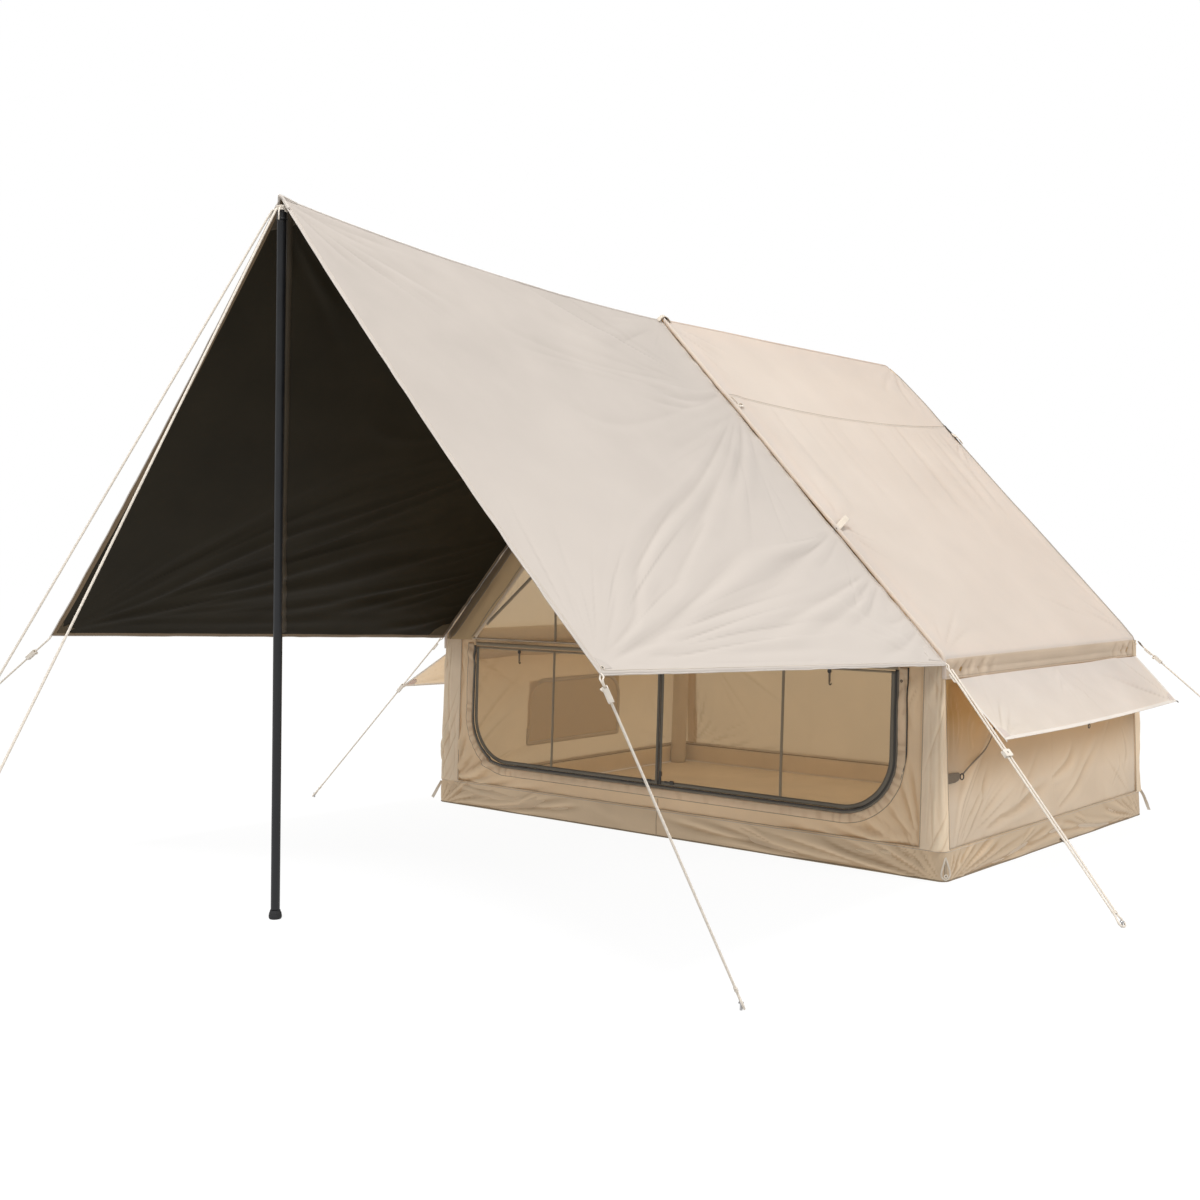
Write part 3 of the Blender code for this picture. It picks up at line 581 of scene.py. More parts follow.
def band(name, surface, path, width, mats, lift=0.002, thickness=0.0015, rows=4, crown=0.0, closed=False, pick=None, marks=0.0):
    """A strip of this width laid on a surface along a path of (s, t)."""
    path = np.asarray(path, float)
    ahead = np.roll(path, -1, 0) - path
    behind = path - np.roll(path, 1, 0)
    if not closed:
        ahead[-1], behind[0] = behind[-1], ahead[0]
    tangent = ahead / np.maximum(np.linalg.norm(ahead, axis=1, keepdims=True), 1e-9) + behind / np.maximum(
        np.linalg.norm(behind, axis=1, keepdims=True), 1e-9
    )
    tangent /= np.linalg.norm(tangent, axis=1, keepdims=True)
    side = np.stack([-tangent[:, 1], tangent[:, 0]], 1)
    across = np.linspace(-0.5, 0.5, rows)
    S = path[:, None, 0] + side[:, None, 0] * across[None] * width
    T = path[:, None, 1] + side[:, None, 1] * across[None] * width
    rise = lift + crown * (1 - (2 * across) ** 2)
    points = surface.at(S, T, np.broadcast_to(rise, S.shape))
    run = np.concatenate([[0], np.cumsum(np.linalg.norm(np.diff(path, axis=0), axis=1))])
    uv = np.stack([np.repeat(run, rows), np.tile(across * width, len(path))], 1)
    faces = grid_faces(len(path), rows, wrap=closed)
    n0 = np.cross(points[1, 0] - points[0, 0], points[0, -1] - points[0, 0])
    want = surface.normal(S[:1, :1], T[:1, :1])[0, 0]
    if float((n0 * want).sum()) < 0:
        faces = faces[:, ::-1]
    indices = None
    if pick is not None:
        indices = np.tile(np.asarray(pick, int), len(faces) // (rows - 1))
    obj = build(name, points, faces, mats, uv, indices)
    if marks:
        mark_folds(obj, surface.relief, S, T, 1, marks)
    return shell(obj, thickness)


def frames_along(points):
    """Unit tangents and a pair of sides that don't twist, along a polyline."""
    points = np.asarray(points, float)
    tangent = np.gradient(points, axis=0)
    tangent /= np.maximum(np.linalg.norm(tangent, axis=1, keepdims=True), 1e-12)
    first = np.array([0, 0, 1.0]) if abs(tangent[0][2]) < 0.9 else np.array([1.0, 0, 0])
    one = np.cross(tangent[0], first)
    one /= np.linalg.norm(one)
    ones = [one]
    for t in tangent[1:]:
        one = ones[-1] - t * np.dot(ones[-1], t)
        one /= np.linalg.norm(one)
        ones.append(one)
    ones = np.array(ones)
    return tangent, ones, np.cross(tangent, ones)


def resample(points, step):
    points = np.asarray(points, float)
    run = np.concatenate([[0], np.cumsum(np.linalg.norm(np.diff(points, axis=0), axis=1))])
    count = max(2, int(round(run[-1] / step)) + 1)
    at = np.linspace(0, run[-1], count)
    return np.stack([np.interp(at, run, points[:, i]) for i in range(3)], 1)


def pipe(name, points, radius, mats, sides=12, section=None, closed=False, cap=True, pick=None):
    """A tube along points. radius is a number or one for each point; section(angle, run) scales it."""
    points = np.asarray(points, float)
    tangent, one, two = frames_along(points)
    run = np.concatenate([[0], np.cumsum(np.linalg.norm(np.diff(points, axis=0), axis=1))])
    radius = np.broadcast_to(np.asarray(radius, float), (len(points),))
    angle = np.linspace(0, 2 * math.pi, sides, endpoint=False)
    A, R = np.meshgrid(angle, run)
    scale = section(A, R) if section else np.ones_like(A)
    ring = (np.cos(A)[..., None] * one[:, None] + np.sin(A)[..., None] * two[:, None]) * (scale * radius[:, None])[..., None]
    verts = (points[:, None] + ring).reshape(-1, 3)
    n = len(points)
    faces = []
    i, j = np.meshgrid(np.arange(n if closed else n - 1), np.arange(sides), indexing="ij")
    k, m = (i + 1) % n, (j + 1) % sides
    faces = np.stack([i * sides + j, i * sides + m, k * sides + m, k * sides + j], -1).reshape(-1, 4)
    indices = pick(np.repeat(i.ravel(), 1), j.ravel(), run) if pick else np.zeros(len(faces), int)
    uv = np.stack([R.ravel(), A.ravel() * float(radius.mean())], 1)
    faces = faces.tolist()
    indices = list(indices)
    if cap and not closed:
        faces.append(list(range(sides))[::-1])
        faces.append(list(range((n - 1) * sides, n * sides)))
        indices += [0, 0]
    return build(name, verts, faces, mats, uv, indices)


def turned(name, profile, mats, matrix, steps=40, indices=None):
    """A closed turned shape from an outline of (radius, height), bottom to top."""
    profile = np.asarray(profile, float)
    angle = np.linspace(0, 2 * math.pi, steps, endpoint=False)
    verts = [
        (r * math.cos(a), r * math.sin(a), z) for a in angle for r, z in profile
    ]
    n = len(profile)
    faces = grid_faces(steps, n, wrap=True).tolist()
    faces.append([i * n for i in range(steps)][::-1])
    faces.append([i * n + n - 1 for i in range(steps)])
    uv = [(a * 0.02, z) for a in angle for r, z in profile]
    obj = build(name, verts, faces, mats, uv)
    obj.data.transform(matrix)
    obj.data.update()
    edges = obj.modifiers.new("sharp", "EDGE_SPLIT")
    edges.split_angle = math.radians(42)
    return obj


def slab(name, outline, thickness, matrix, mats, holes=(), bevel=0.0012):
    """A flat outline with holes, as a plate with rounded edges, made into a mesh."""
    curve = bpy.data.curves.new(name + "_c", "CURVE")
    curve.dimensions = "2D"
    curve.fill_mode = "BOTH"
    curve.extrude = thickness / 2 - bevel
    curve.bevel_depth = bevel
    curve.bevel_resolution = 2
    curve.offset = -bevel
    for loop in (outline, *holes):
        spline = curve.splines.new("POLY")
        spline.points.add(len(loop) - 1)
        for p, (x, y) in zip(spline.points, loop):
            p.co = (x, y, 0, 1)
        spline.use_cyclic_u = True
    holder = bpy.data.objects.new(name + "_c", curve)
    scene.collection.objects.link(holder)
    bpy.context.view_layer.update()
    me = bpy.data.meshes.new_from_object(holder.evaluated_get(bpy.context.evaluated_depsgraph_get()))
    bpy.data.objects.remove(holder)
    me.name = name
    me.materials.clear()
    me.transform(matrix)
    me.polygons.foreach_set("use_smooth", np.full(len(me.polygons), False))
    if not me.uv_layers.get("cloth"):
        me.uv_layers.new(name="cloth")
    obj = bpy.data.objects.new(name, me)
    return link(obj, mats)


def axes(origin, right, up):
    right, up = Vector(right).normalized(), Vector(up).normalized()
    return Matrix.Translation(Vector(origin)) @ Matrix((right, up, right.cross(up))).transposed().to_4x4()


def arc(cx, cy, r, a, b, steps=10):
    return [
        (cx + r * math.cos(math.radians(a + (b - a) * i / steps)), cy + r * math.sin(math.radians(a + (b - a) * i / steps)))
        for i in range(steps + 1)
    ]


# ------------------------------------------------------------------ guy ropes, first of all the pieces
def rope_points(start, peg, half, strands):
    far = np.array([peg[0], peg[1], ROPE_R + 0.0008])
    along = np.array(start) - far
    reach = np.linalg.norm(along)
    along = along / reach
    across = np.cross([0, 0, 1.0], along)
    across /= np.linalg.norm(across)

    def width(u):
        if u >= EYE_LEN:
            return half
        return half + (EYE_R - half) * (0.5 + 0.5 * math.cos(math.pi * (u - EYE_R) / (EYE_LEN - EYE_R)))

    def at(u, v):
        return far + along * u + across * v

    straight = [reach + (EYE_LEN + 0.02 - reach) * i / 13 for i in range(14)]
    neck = [EYE_LEN + (EYE_R - EYE_LEN) * i / 10 for i in range(10)]
    points = [at(u, width(u)) for u in straight + neck]
    for i in range(25):
        angle = math.pi * i / 24
        points.append(at(EYE_R - EYE_R * math.sin(angle), EYE_R * math.cos(angle)))
    points += [at(u, -width(u)) for u in neck[::-1]]
    if strands == 1:
        points += [at(u, -width(u)) for u in (EYE_LEN + 0.012, TAIL)]
    else:
        points += [at(u, -width(u)) for u in straight[::-1]]
    return np.array(points), far, along, across, reach


def twisted(angle, run):
    return 0.972 + 0.028 * np.abs(np.cos(1.5 * (angle - run * 2 * math.pi / 0.020)))


def strand_pick(i, j, run):
    turn = (j + 0.5) / 12 * 2 * math.pi - run[np.minimum(i, len(run) - 1)] * 2 * math.pi / 0.024
    return (((turn / (2 * math.pi / 3)) + 0.5) % 3 < 1).astype(int)


rope_facts = {}
ropes_made = {}
for name, (start, peg, half, strands, runner_at) in ROPES.items():
    points, far, along, across, reach = rope_points(start, peg, half, strands)
    path = resample(points, 0.0035)
    rope = pipe(name.replace("guy_", "rope_"), path, ROPE_R, [ROPE_A, ROPE_B], 12, twisted, pick=strand_pick)
    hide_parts(name)
    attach(rope, "tent")
    length = float(np.linalg.norm(np.diff(path, axis=0), axis=1).sum())
    rope_facts[name] = (far, along, across, reach, half, strands, runner_at, length)
    ropes_made[name] = (rope, points, path, length)


# ------------------------------------------------------------------ awning
LS, LT = 2.22, 2.24


def wing_base(side):
    def f(S, T):
        u, v = (S / LS)[..., None], (T / LT)[..., None]
        front = APEX + (AWN_FRONT - APEX) * v
        rear = AWN_RIDGE + (AWN_REAR - AWN_RIDGE) * v
        p = front + (rear - front) * u
        p = p.copy()
        uu, vv = u[..., 0], v[..., 0]
        p[..., 2] -= 0.033 * 4 * uu * (1 - uu) * (1 - vv) + 0.030 * 4 * vv * (1 - vv) * (1 - uu) + 0.016 * 4 * vv * (1 - vv) * uu * 0.5
        p[..., 0] *= side
        return p

    return f


WING_CREASES = [
    ([(0.03, 0.015), (0.22, 0.075), (0.45, 0.145)], 0.022, 1.2),
    ([(0.02, 0.030), (0.11, 0.150), (0.22, 0.310)], 0.024, 1.0),
    ([(0.05, 0.020), (0.25, 0.050), (0.55, 0.070)], 0.018, 0.9),
    ([(0.03, 0.030), (0.20, 0.170), (0.50, 0.380)], 0.028, 0.8),
    ([(0.03, 0.020), (0.30, 0.160), (0.75, 0.360)], 0.030, 0.6),
    ([(2.20, 0.53), (1.89, 0.62), (1.62, 0.59)], 0.028, 1.0),
    ([(2.18, 0.55), (1.80, 0.68), (1.44, 0.66)], 0.022, 0.8),
    ([(1.70, 0.56), (1.34, 0.52), (0.78, 0.49)], 0.020, 0.5),
    ([(1.86, 0.67), (1.14, 0.90), (0.76, 0.73)], 0.035, 0.4),
    ([(1.92, 0.49), (1.28, 0.48), (0.72, 0.35)], 0.025, 0.45),
    ([(2.19, 0.66), (1.72, 0.88), (1.24, 1.10)], 0.030, 0.5),
    ([(2.17, 0.67), (1.46, 1.18), (0.77, 1.60), (0.39, 1.94)], 0.028, 1.0),
    ([(2.18, 0.68), (1.74, 1.06), (1.22, 1.44), (0.74, 1.79)], 0.032, 0.9),
    ([(2.21, 0.69), (1.89, 1.02), (1.42, 1.36)], 0.037, 1.0),
    ([(2.21, 0.72), (2.09, 0.92), (1.92, 1.13)], 0.027, 0.5),
    ([(0.06, 2.19), (0.55, 2.00), (1.16, 1.70), (1.54, 1.51)], 0.034, 1.1),
    ([(0.08, 2.16), (0.36, 1.99), (0.60, 1.74), (0.81, 1.57)], 0.026, 0.8),
    ([(0.08, 2.16), (0.31, 1.93), (0.47, 1.75)], 0.017, 0.5),
    ([(0.14, 2.18), (0.66, 2.00), (1.38, 1.79), (2.06, 1.48)], 0.045, 0.8),
    ([(2.18, 1.70), (1.57, 1.89), (1.19, 2.01), (0.87, 2.10)], 0.033, 1.0),
    ([(2.19, 1.73), (1.78, 1.92), (1.31, 2.06)], 0.033, 0.9),
    ([(2.20, 1.77), (1.90, 1.94), (1.54, 2.06)], 0.030, 0.8),
    ([(2.21, 2.04), (1.97, 2.13), (1.69, 2.18)], 0.030, 0.9),
    ([(2.21, 1.95), (2.12, 1.98), (1.98, 2.00)], 0.024, 0.7),
    ([(1.28, 1.43), (0.86, 1.72), (0.57, 1.93)], 0.022, 0.6),
    ([(0.29, 2.12), (0.96, 2.01), (1.48, 1.93)], 0.022, 0.6),
    ([(2.19, 1.44), (1.71, 1.63), (1.14, 1.82)], 0.039, 0.7),
    ([(2.21, 1.47), (1.95, 1.62), (1.73, 1.72)], 0.022, 0.6),
    ([(0.22, 2.16), (0.83, 2.14), (1.58, 2.12)], 0.027, 0.5),
]


def wing_relief(side):
    seed = 40 if side > 0 else 70

    def f(S, T):
        right = side > 0
        # tight folds run from the toggles on the rear edge towards the front, and from the front corner and the peak
        d = creases(S, T, WING_CREASES, 0.17 if right else 0.22, least=0.0135)
        d += fan(S, T, (LS - 0.01, 0.54), 172, 222, 11, 1.7, 0.0042, seed, least=0.026)
        d += fan(S, T, (LS - 0.01, 0.66), 106, 168, 11, 1.6, 0.0050, seed + 1, least=0.026)
        d += fan(S, T, (0.0, LT), -58, -3, 18, 2.3, 0.0058 if right else 0.0100, seed + 2, bend=3, least=0.022)
        d += fan(S, T, (0.0, LT), -86, -50, 6, 1.1, 0.0030, seed + 3, least=0.026)
        d += fan(S, T, (LS, 1.42), 112, 168, 7, 0.95, 0.0042, seed + 4, bend=8, least=0.026)
        d += fan(S, T, (LS, 1.72), 108, 160, 6, 0.65, 0.0038, seed + 5, bend=25, least=0.026)
        d += fan(S, T, (LS, LT), 182, 226, 5, 0.9, 0.0038, seed + 7, least=0.026)
        d += fan(S, T, (0.0, 0.0), 6, 46, 6, 1.4, 0.0040, seed + 8, least=0.030)
        d += fan(S, T, (LS, 0.0), 128, 176, 6, 0.9, 0.0038, seed + 9, least=0.026)
        edge = smoothstep(S, 0.0, 0.10) * smoothstep(T, 0.0, 0.10) * smoothstep(LT - T, 0.0, 0.10)
        d += 0.0042 * value_noise(S * 1.6 + 3, T * 2.2, seed + 10) * edge
        d += 0.0016 * value_noise(S * 4.5, T * 6.0, seed + 11) * edge
        # puckers along the rear hem, deeper close to the toggles
        near = np.exp(-(LS - S) / 0.060) * smoothstep(T, 0.02, 0.12) * smoothstep(LT - T, 0.02, 0.12)
        d += 0.0048 * near * value_noise(T * 19 + S * 4, S * 3, seed + 12)
        near = (np.exp(-S / 0.040) + np.exp(-(LT - T) / 0.035)) * smoothstep(S + LT - T, 0.03, 0.15)
        d += 0.0018 * near * value_noise((S + T) * 13, (S - T) * 2, seed + 13)
        hem = np.minimum.reduce([S, LS - S, LT - T])
        d += 0.0012 * (1 - smoothstep(hem, 0.019, 0.022))
        return d

    return f


wings = {}
HEM = 0.021
for side, name in ((-1, "left"), (1, "right")):
    surface = Surface(wing_base(side), wing_relief(side), (side, 0, 0.8))
    wings[side] = surface
    S = lines(0.0, LS, 0.0112, (HEM, LS - HEM))
    T = lines(0.0, LT, 0.0112, (LT - HEM,))

    def pick(s, t):
        hem = np.minimum.reduce([s, LS - s, LT - t])
        return (hem < HEM) * 3

    # slots: outer cloth, coating, light rim, outer hem, inner hem tape
    wing = cloth(f"awning_wing_{name}", surface, S, T, [AWN_OUT, AWN_IN, HEM_OUT, HEM_FLAT, HEM_IN], 0.0022, inner=1, rim=2, pick=pick, marks=0.0026)
    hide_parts(f"awning_{name}")
    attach(wing, "tent")

# seam tape over the ridge
ridge_line = []
for s in np.linspace(0.0, LS, 120):
    p = wings[1].at(np.array([[s]]), np.array([[0.0]]))[0, 0]
    q = wings[-1].at(np.array([[s]]), np.array([[0.0]]))[0, 0]
    ridge_line.append((0.0, (p[1] + q[1]) / 2, max(p[2], q[2])))
ridge_line = np.array(ridge_line)
ridge = pipe("awning_ridge_seam", ridge_line + [0, 0, -0.001], 0.0042, [HEM_OUT], 10)
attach(ridge, "tent")


def corner_patch(name, surface, corner, start, end, reach, lift, mats, body="tent", teeth=0.0):
    """A reinforcement patch in a corner: rays from the corner between two directions, in degrees."""
    rows, cols = 14, 18
    angle = np.radians(np.linspace(start, end, cols))
    edge = reach * (1 - teeth * np.abs(np.sin(np.linspace(0, 3 * math.pi, cols))))
    r = np.linspace(0.004, 1.0, rows)[:, None] * edge[None]
    S = corner[0] + r * np.cos(angle)[None]
    T = corner[1] + r * np.sin(angle)[None]
    points = surface.at(S, T, lift)
    faces = grid_faces(rows, cols)
    n0 = np.cross(points[-1, 0] - points[0, 0], points[-1, -1] - points[0, 0])
    want = surface.normal(S[:1, :1], T[:1, :1])[0, 0] * (1 if lift > 0 else -1)
    if float((n0 * want).sum()) < 0:
        faces = faces[:, ::-1]
    obj = build(name, points, faces, mats, np.stack([S.ravel(), T.ravel()], 1))
    shell(obj, 0.0012)
    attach(obj, body)
    return obj


def on_wing(side, s, t, lift=0.0):
    return wings[side].at(np.array([[float(s)]]), np.array([[float(t)]]), lift)[0, 0]


for side, name in ((-1, "left"), (1, "right")):
    s = wings[side]
    corner_patch(f"awning_patch_front_{name}_in", s, (0.018, LT - 0.018), -89, -1, 0.085, -0.0036, [PATCH_IN], teeth=0.45)
    corner_patch(f"awning_patch_front_{name}_out", s, (0.024, LT - 0.024), -86, -4, 0.050, 0.0005, [HEM_FLAT])
    corner_patch(f"awning_patch_rear_{name}_in", s, (LS - 0.02, LT - 0.02), 181, 269, 0.10, -0.0036, [PATCH_IN], teeth=0.05)
    corner_patch(f"awning_patch_rear_{name}_out", s, (LS - 0.024, LT - 0.024), 184, 266, 0.10, 0.0007, [HEM_FLAT], teeth=0.16)
    corner_patch(f"awning_patch_apex_{name}_in", s, (0.018, 0.004), 2, 88, 0.12, -0.0036, [TAPE_IN], teeth=0.06)
    # the edge of the hem, rolled and light, and its row of stitches
    edge = np.vstack([
        s.at(np.zeros((130, 1)), np.linspace(0.004, LT, 130)[:, None], -0.0010)[:, 0],
        s.at(np.linspace(0, LS, 150)[1:, None], np.full((149, 1), LT), -0.0010)[:, 0],
        s.at(np.full((129, 1), LS), np.linspace(LT, 0.004, 130)[1:, None], -0.0010)[:, 0],
    ])
    roll = pipe(f"awning_hem_roll_{name}", edge, 0.0023, [HEM_OUT], 8)
    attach(roll, "tent")
    path = [(0.018, t) for t in np.linspace(0.02, LT - 0.018, 130)] + [(x, LT - 0.018) for x in np.linspace(0.018, LS - 0.018, 150)[1:]]
    path += [(LS - 0.018, t) for t in np.linspace(LT - 0.018, 0.02, 130)[1:]]
    stitch = band(f"awning_hem_stitch_{name}", s, path, 0.0022, [SEAM_LIGHT], lift=0.0006, thickness=0.0005, rows=2)
    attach(stitch, "tent")
    # the taped seam inside, between the wing's two panels
    ends = [(0.03 + 0.511 * t, t) for t in np.linspace(0.02, LT - 0.03, 150)]
    tape = band(f"awning_panel_tape_{name}", s, ends, 0.050, [TAPE_IN], lift=-0.0036, thickness=0.0008, rows=4)
    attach(tape, "tent")
    line = band(f"awning_panel_seam_{name}", s, ends, 0.0030, [COIL], lift=-0.0048, thickness=0.0005, rows=2)
    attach(line, "tent")
    # eyelets in the front corners
    for n, (cs, ct) in enumerate(((0.030, LT - 0.030),)):
        c = on_wing(side, cs, ct, 0.0010)
        up3 = s.normal(np.array([[cs]]), np.array([[ct]]))[0, 0]
        right3 = np.cross(up3, [0.0, 1.0, 0.0])
        right3 /= np.linalg.norm(right3)
        other = np.cross(up3, right3)
        a = np.linspace(0, 2 * math.pi, 30, endpoint=False)
        ring = c + 0.0060 * (np.cos(a)[:, None] * right3 + np.sin(a)[:, None] * other)
        eyelet = pipe(f"awning_eyelet_{name}", ring, 0.0018, [WEBBING], 8, closed=True)
        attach(eyelet, "tent")
        disc = slab(f"awning_eyelet_hole_{name}", arc(0, 0, 0.0048, 0, 345, 23), 0.0012, axes(c, right3, other), [COIL], bevel=0.0003)
        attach(disc, "tent")


# ------------------------------------------------------------------ roof
def roof_profile(side):
    """x and z down the roof from the ridge, round the eave tube and down the eave band."""
    pts = [(0.0, RIDGE_Z + 0.001)]
    corner = np.array([EAVE_X + 0.006, EAVE_Z + 0.001])
    down = np.array([DOWN_X, DOWN_Z])
    band_dir = np.array([LEAN, -1.0])
    band_dir /= np.linalg.norm(band_dir)
    radius = 0.040
    a, b = -down, band_dir
    half = math.acos(float(np.dot(a, b))) / 2
    reach = radius / math.tan(half)
    centre = corner + (a + b) / np.linalg.norm(a + b) * (radius / math.sin(half))
    first, last = corner + a * reach, corner + b * reach
    pts.append(tuple(first))
    for i in range(1, 12):
        ray = (first - centre) * (1 - i / 12) + (last - centre) * (i / 12)
        pts.append(tuple(centre + ray / np.linalg.norm(ray) * radius))
    pts.append(tuple(last))
    end_z = 0.826
    pts.append((last[0] + (last[1] - end_z) * LEAN, end_z))
    pts = np.array(pts)
    run = np.concatenate([[0], np.cumsum(np.linalg.norm(np.diff(pts, axis=0), axis=1))])
    return run, pts


ROOF_RUN, ROOF_PTS = roof_profile(1)
ROOF_LEN = float(ROOF_RUN[-1])
EAVE_RUN = float(ROOF_RUN[7])
SEAM_RUN = 0.36 / DOWN_X


def seam_run(S):
    """The cross seam hangs lower in its middle."""
    return SEAM_RUN + 0.050 * np.clip(1 - (np.asarray(S, float) / 1.036) ** 2, 0, 1)




def roof_base(side):
    """S is y from the middle, T the length down from the ridge."""

    def f(S, T):
        T = np.asarray(T, float)
        x = np.interp(T, ROOF_RUN, ROOF_PTS[:, 0])
        z = np.interp(T, ROOF_RUN, ROOF_PTS[:, 1])
        before = T < 0
        x = np.where(before, T * DOWN_X, x)
        z = np.where(before, RIDGE_Z + T * DOWN_Z, z)
        share = np.clip(T / SLOPE_LEN, 0, 1)
        rear = 1.036 + REAR_OUT * (1 - share) - 0.014 * share
        front = -1.036
        y = np.where(S > 0, S / 1.036 * rear, S)
        z = z - 0.020 * smoothstep(S, 0.955, 1.036) ** 1.5 * np.exp(-np.maximum(T, 0) / 0.12)
        return np.stack([side * x, y, z], -1)

    return f


BAND_CREASES = [([(-0.900 + x, EAVE_RUN + 0.010), (-0.948 + x, EAVE_RUN + 0.050), (-0.985 + x, ROOF_LEN - 0.010)], wide, high) for x, wide, high in (
    (0.0, 0.022, 0.50), (0.072, 0.020, 0.80), (0.125, 0.022, 0.45), (0.235, 0.028, 0.55), (0.335, 0.024, 0.28)
)]
BAND_CREASES += [([(0.990 - x, EAVE_RUN + 0.010), (0.958 - x, EAVE_RUN + 0.050), (0.925 - x, ROOF_LEN - 0.010)], wide, high) for x, wide, high in (
    (0.0, 0.022, 0.70), (0.075, 0.020, 0.55), (0.190, 0.026, 0.35)
)]


def roof_relief(side):
    seed = 110 if side > 0 else 140

    def f(S, T):
        slope = 1 - smoothstep(T, EAVE_RUN - 0.12, EAVE_RUN - 0.01)
        d = -0.012 * np.clip(1 - (S / 0.90) ** 2, 0, 1) * np.sin(np.pi * np.clip(T / EAVE_RUN, 0, 1)) * slope
        for y in (-0.965, 0.985):
            d += 0.005 * np.exp(-(((S - y) / 0.045) ** 2)) * smoothstep(T, 0.02, 0.2) * slope
        # cross seam: a felled seam stands up, cloth creases below it
        t_seam = seam_run(S)
        d += 0.0024 * np.exp(-(((T - t_seam) / 0.007) ** 2))
        below = smoothstep(T, t_seam, t_seam + 0.05) * (1 - smoothstep(T, SEAM_RUN + 0.25, SEAM_RUN + 1.1))
        d += below * drapes(S, T, 92, 0.17, 1.0, 0.0055, seed)
        above = smoothstep(T, t_seam - 0.30, t_seam) * (1 - smoothstep(T, t_seam - 0.01, t_seam))
        d += 0.0024 * above * value_noise(S * 8, T * 1.5, seed + 1)
        table = [([(y, SEAM_RUN + 0.02), (y - 0.01, SEAM_RUN + 0.3), (y - far, SEAM_RUN + 0.8)], wide, high) for y, far, wide, high in (
            (0.14, 0.03, 0.045, 0.5), (0.44, 0.05, 0.045, 0.9), (0.62, 0.05, 0.040, 0.45), (0.76, 0.06, 0.042, 0.8), (0.90, 0.08, 0.036, 0.8), (-0.30, -0.03, 0.05, 0.4), (-0.72, -0.04, 0.05, 0.5)
        )]
        table += [([(1.02, 0.03), (0.98, 0.22), (0.97, 0.46)], 0.022, 1.0), ([(1.01, 0.04), (0.90, 0.22), (0.84, 0.44)], 0.022, 0.9), ([(0.99, 0.03), (0.80, 0.16), (0.66, 0.30)], 0.024, 0.6), ([(1.02, 0.10), (1.01, 0.30), (1.015, 0.50)], 0.012, 0.8)]
        d += creases(S, T, table, 0.20)
        d += fan(S, T, (1.03, 0.02), 86, 152, 6, 0.60, 0.0085, seed + 2)
        d += fan(S, T, (-1.03, 0.02), 20, 90, 5, 0.60, 0.0060, seed + 3)
        d += fan(S, T, (-1.035, EAVE_RUN - 0.01), -86, -8, 6, 1.0, 0.0060, seed + 4) * slope
        d += fan(S, T, (1.035, EAVE_RUN - 0.01), -172, -94, 6, 1.0, 0.0065, seed + 5) * slope
        d += fan(S, T, (1.03, SEAM_RUN + 0.10), 100, 170, 5, 0.55, 0.0070, seed + 6)
        d += fan(S, T, (-1.03, 1.36), -70, 60, 6, 0.60, 0.0055, seed + 7)
        d += 0.0030 * value_noise(S * 1.4 + 5, T * 1.1, seed + 8) * slope
        # eave band: slanting folds at its two ends, a flat crease along its middle
        low = smoothstep(T, EAVE_RUN - 0.005, EAVE_RUN + 0.03)
        d += low * (
            fan(S, T, (-1.03, ROOF_LEN + 0.01), -70, -3, 5, 0.70, 0.0022, seed + 9, least=0.008)
            + fan(S, T, (1.04, ROOF_LEN + 0.02), 182, 250, 6, 0.65, 0.0045, seed + 10, least=0.008)
            + creases(S, T, BAND_CREASES, 0.70)
            + 0.0032 * value_noise(S * 4.0 + T * 9.0, T * 8.0, seed + 11)
            - 0.0040 * np.exp(-(((T - EAVE_RUN - 0.052) / 0.008) ** 2)) * np.clip(1.2 - np.abs(S), 0, 1)
        )
        return d

    return f


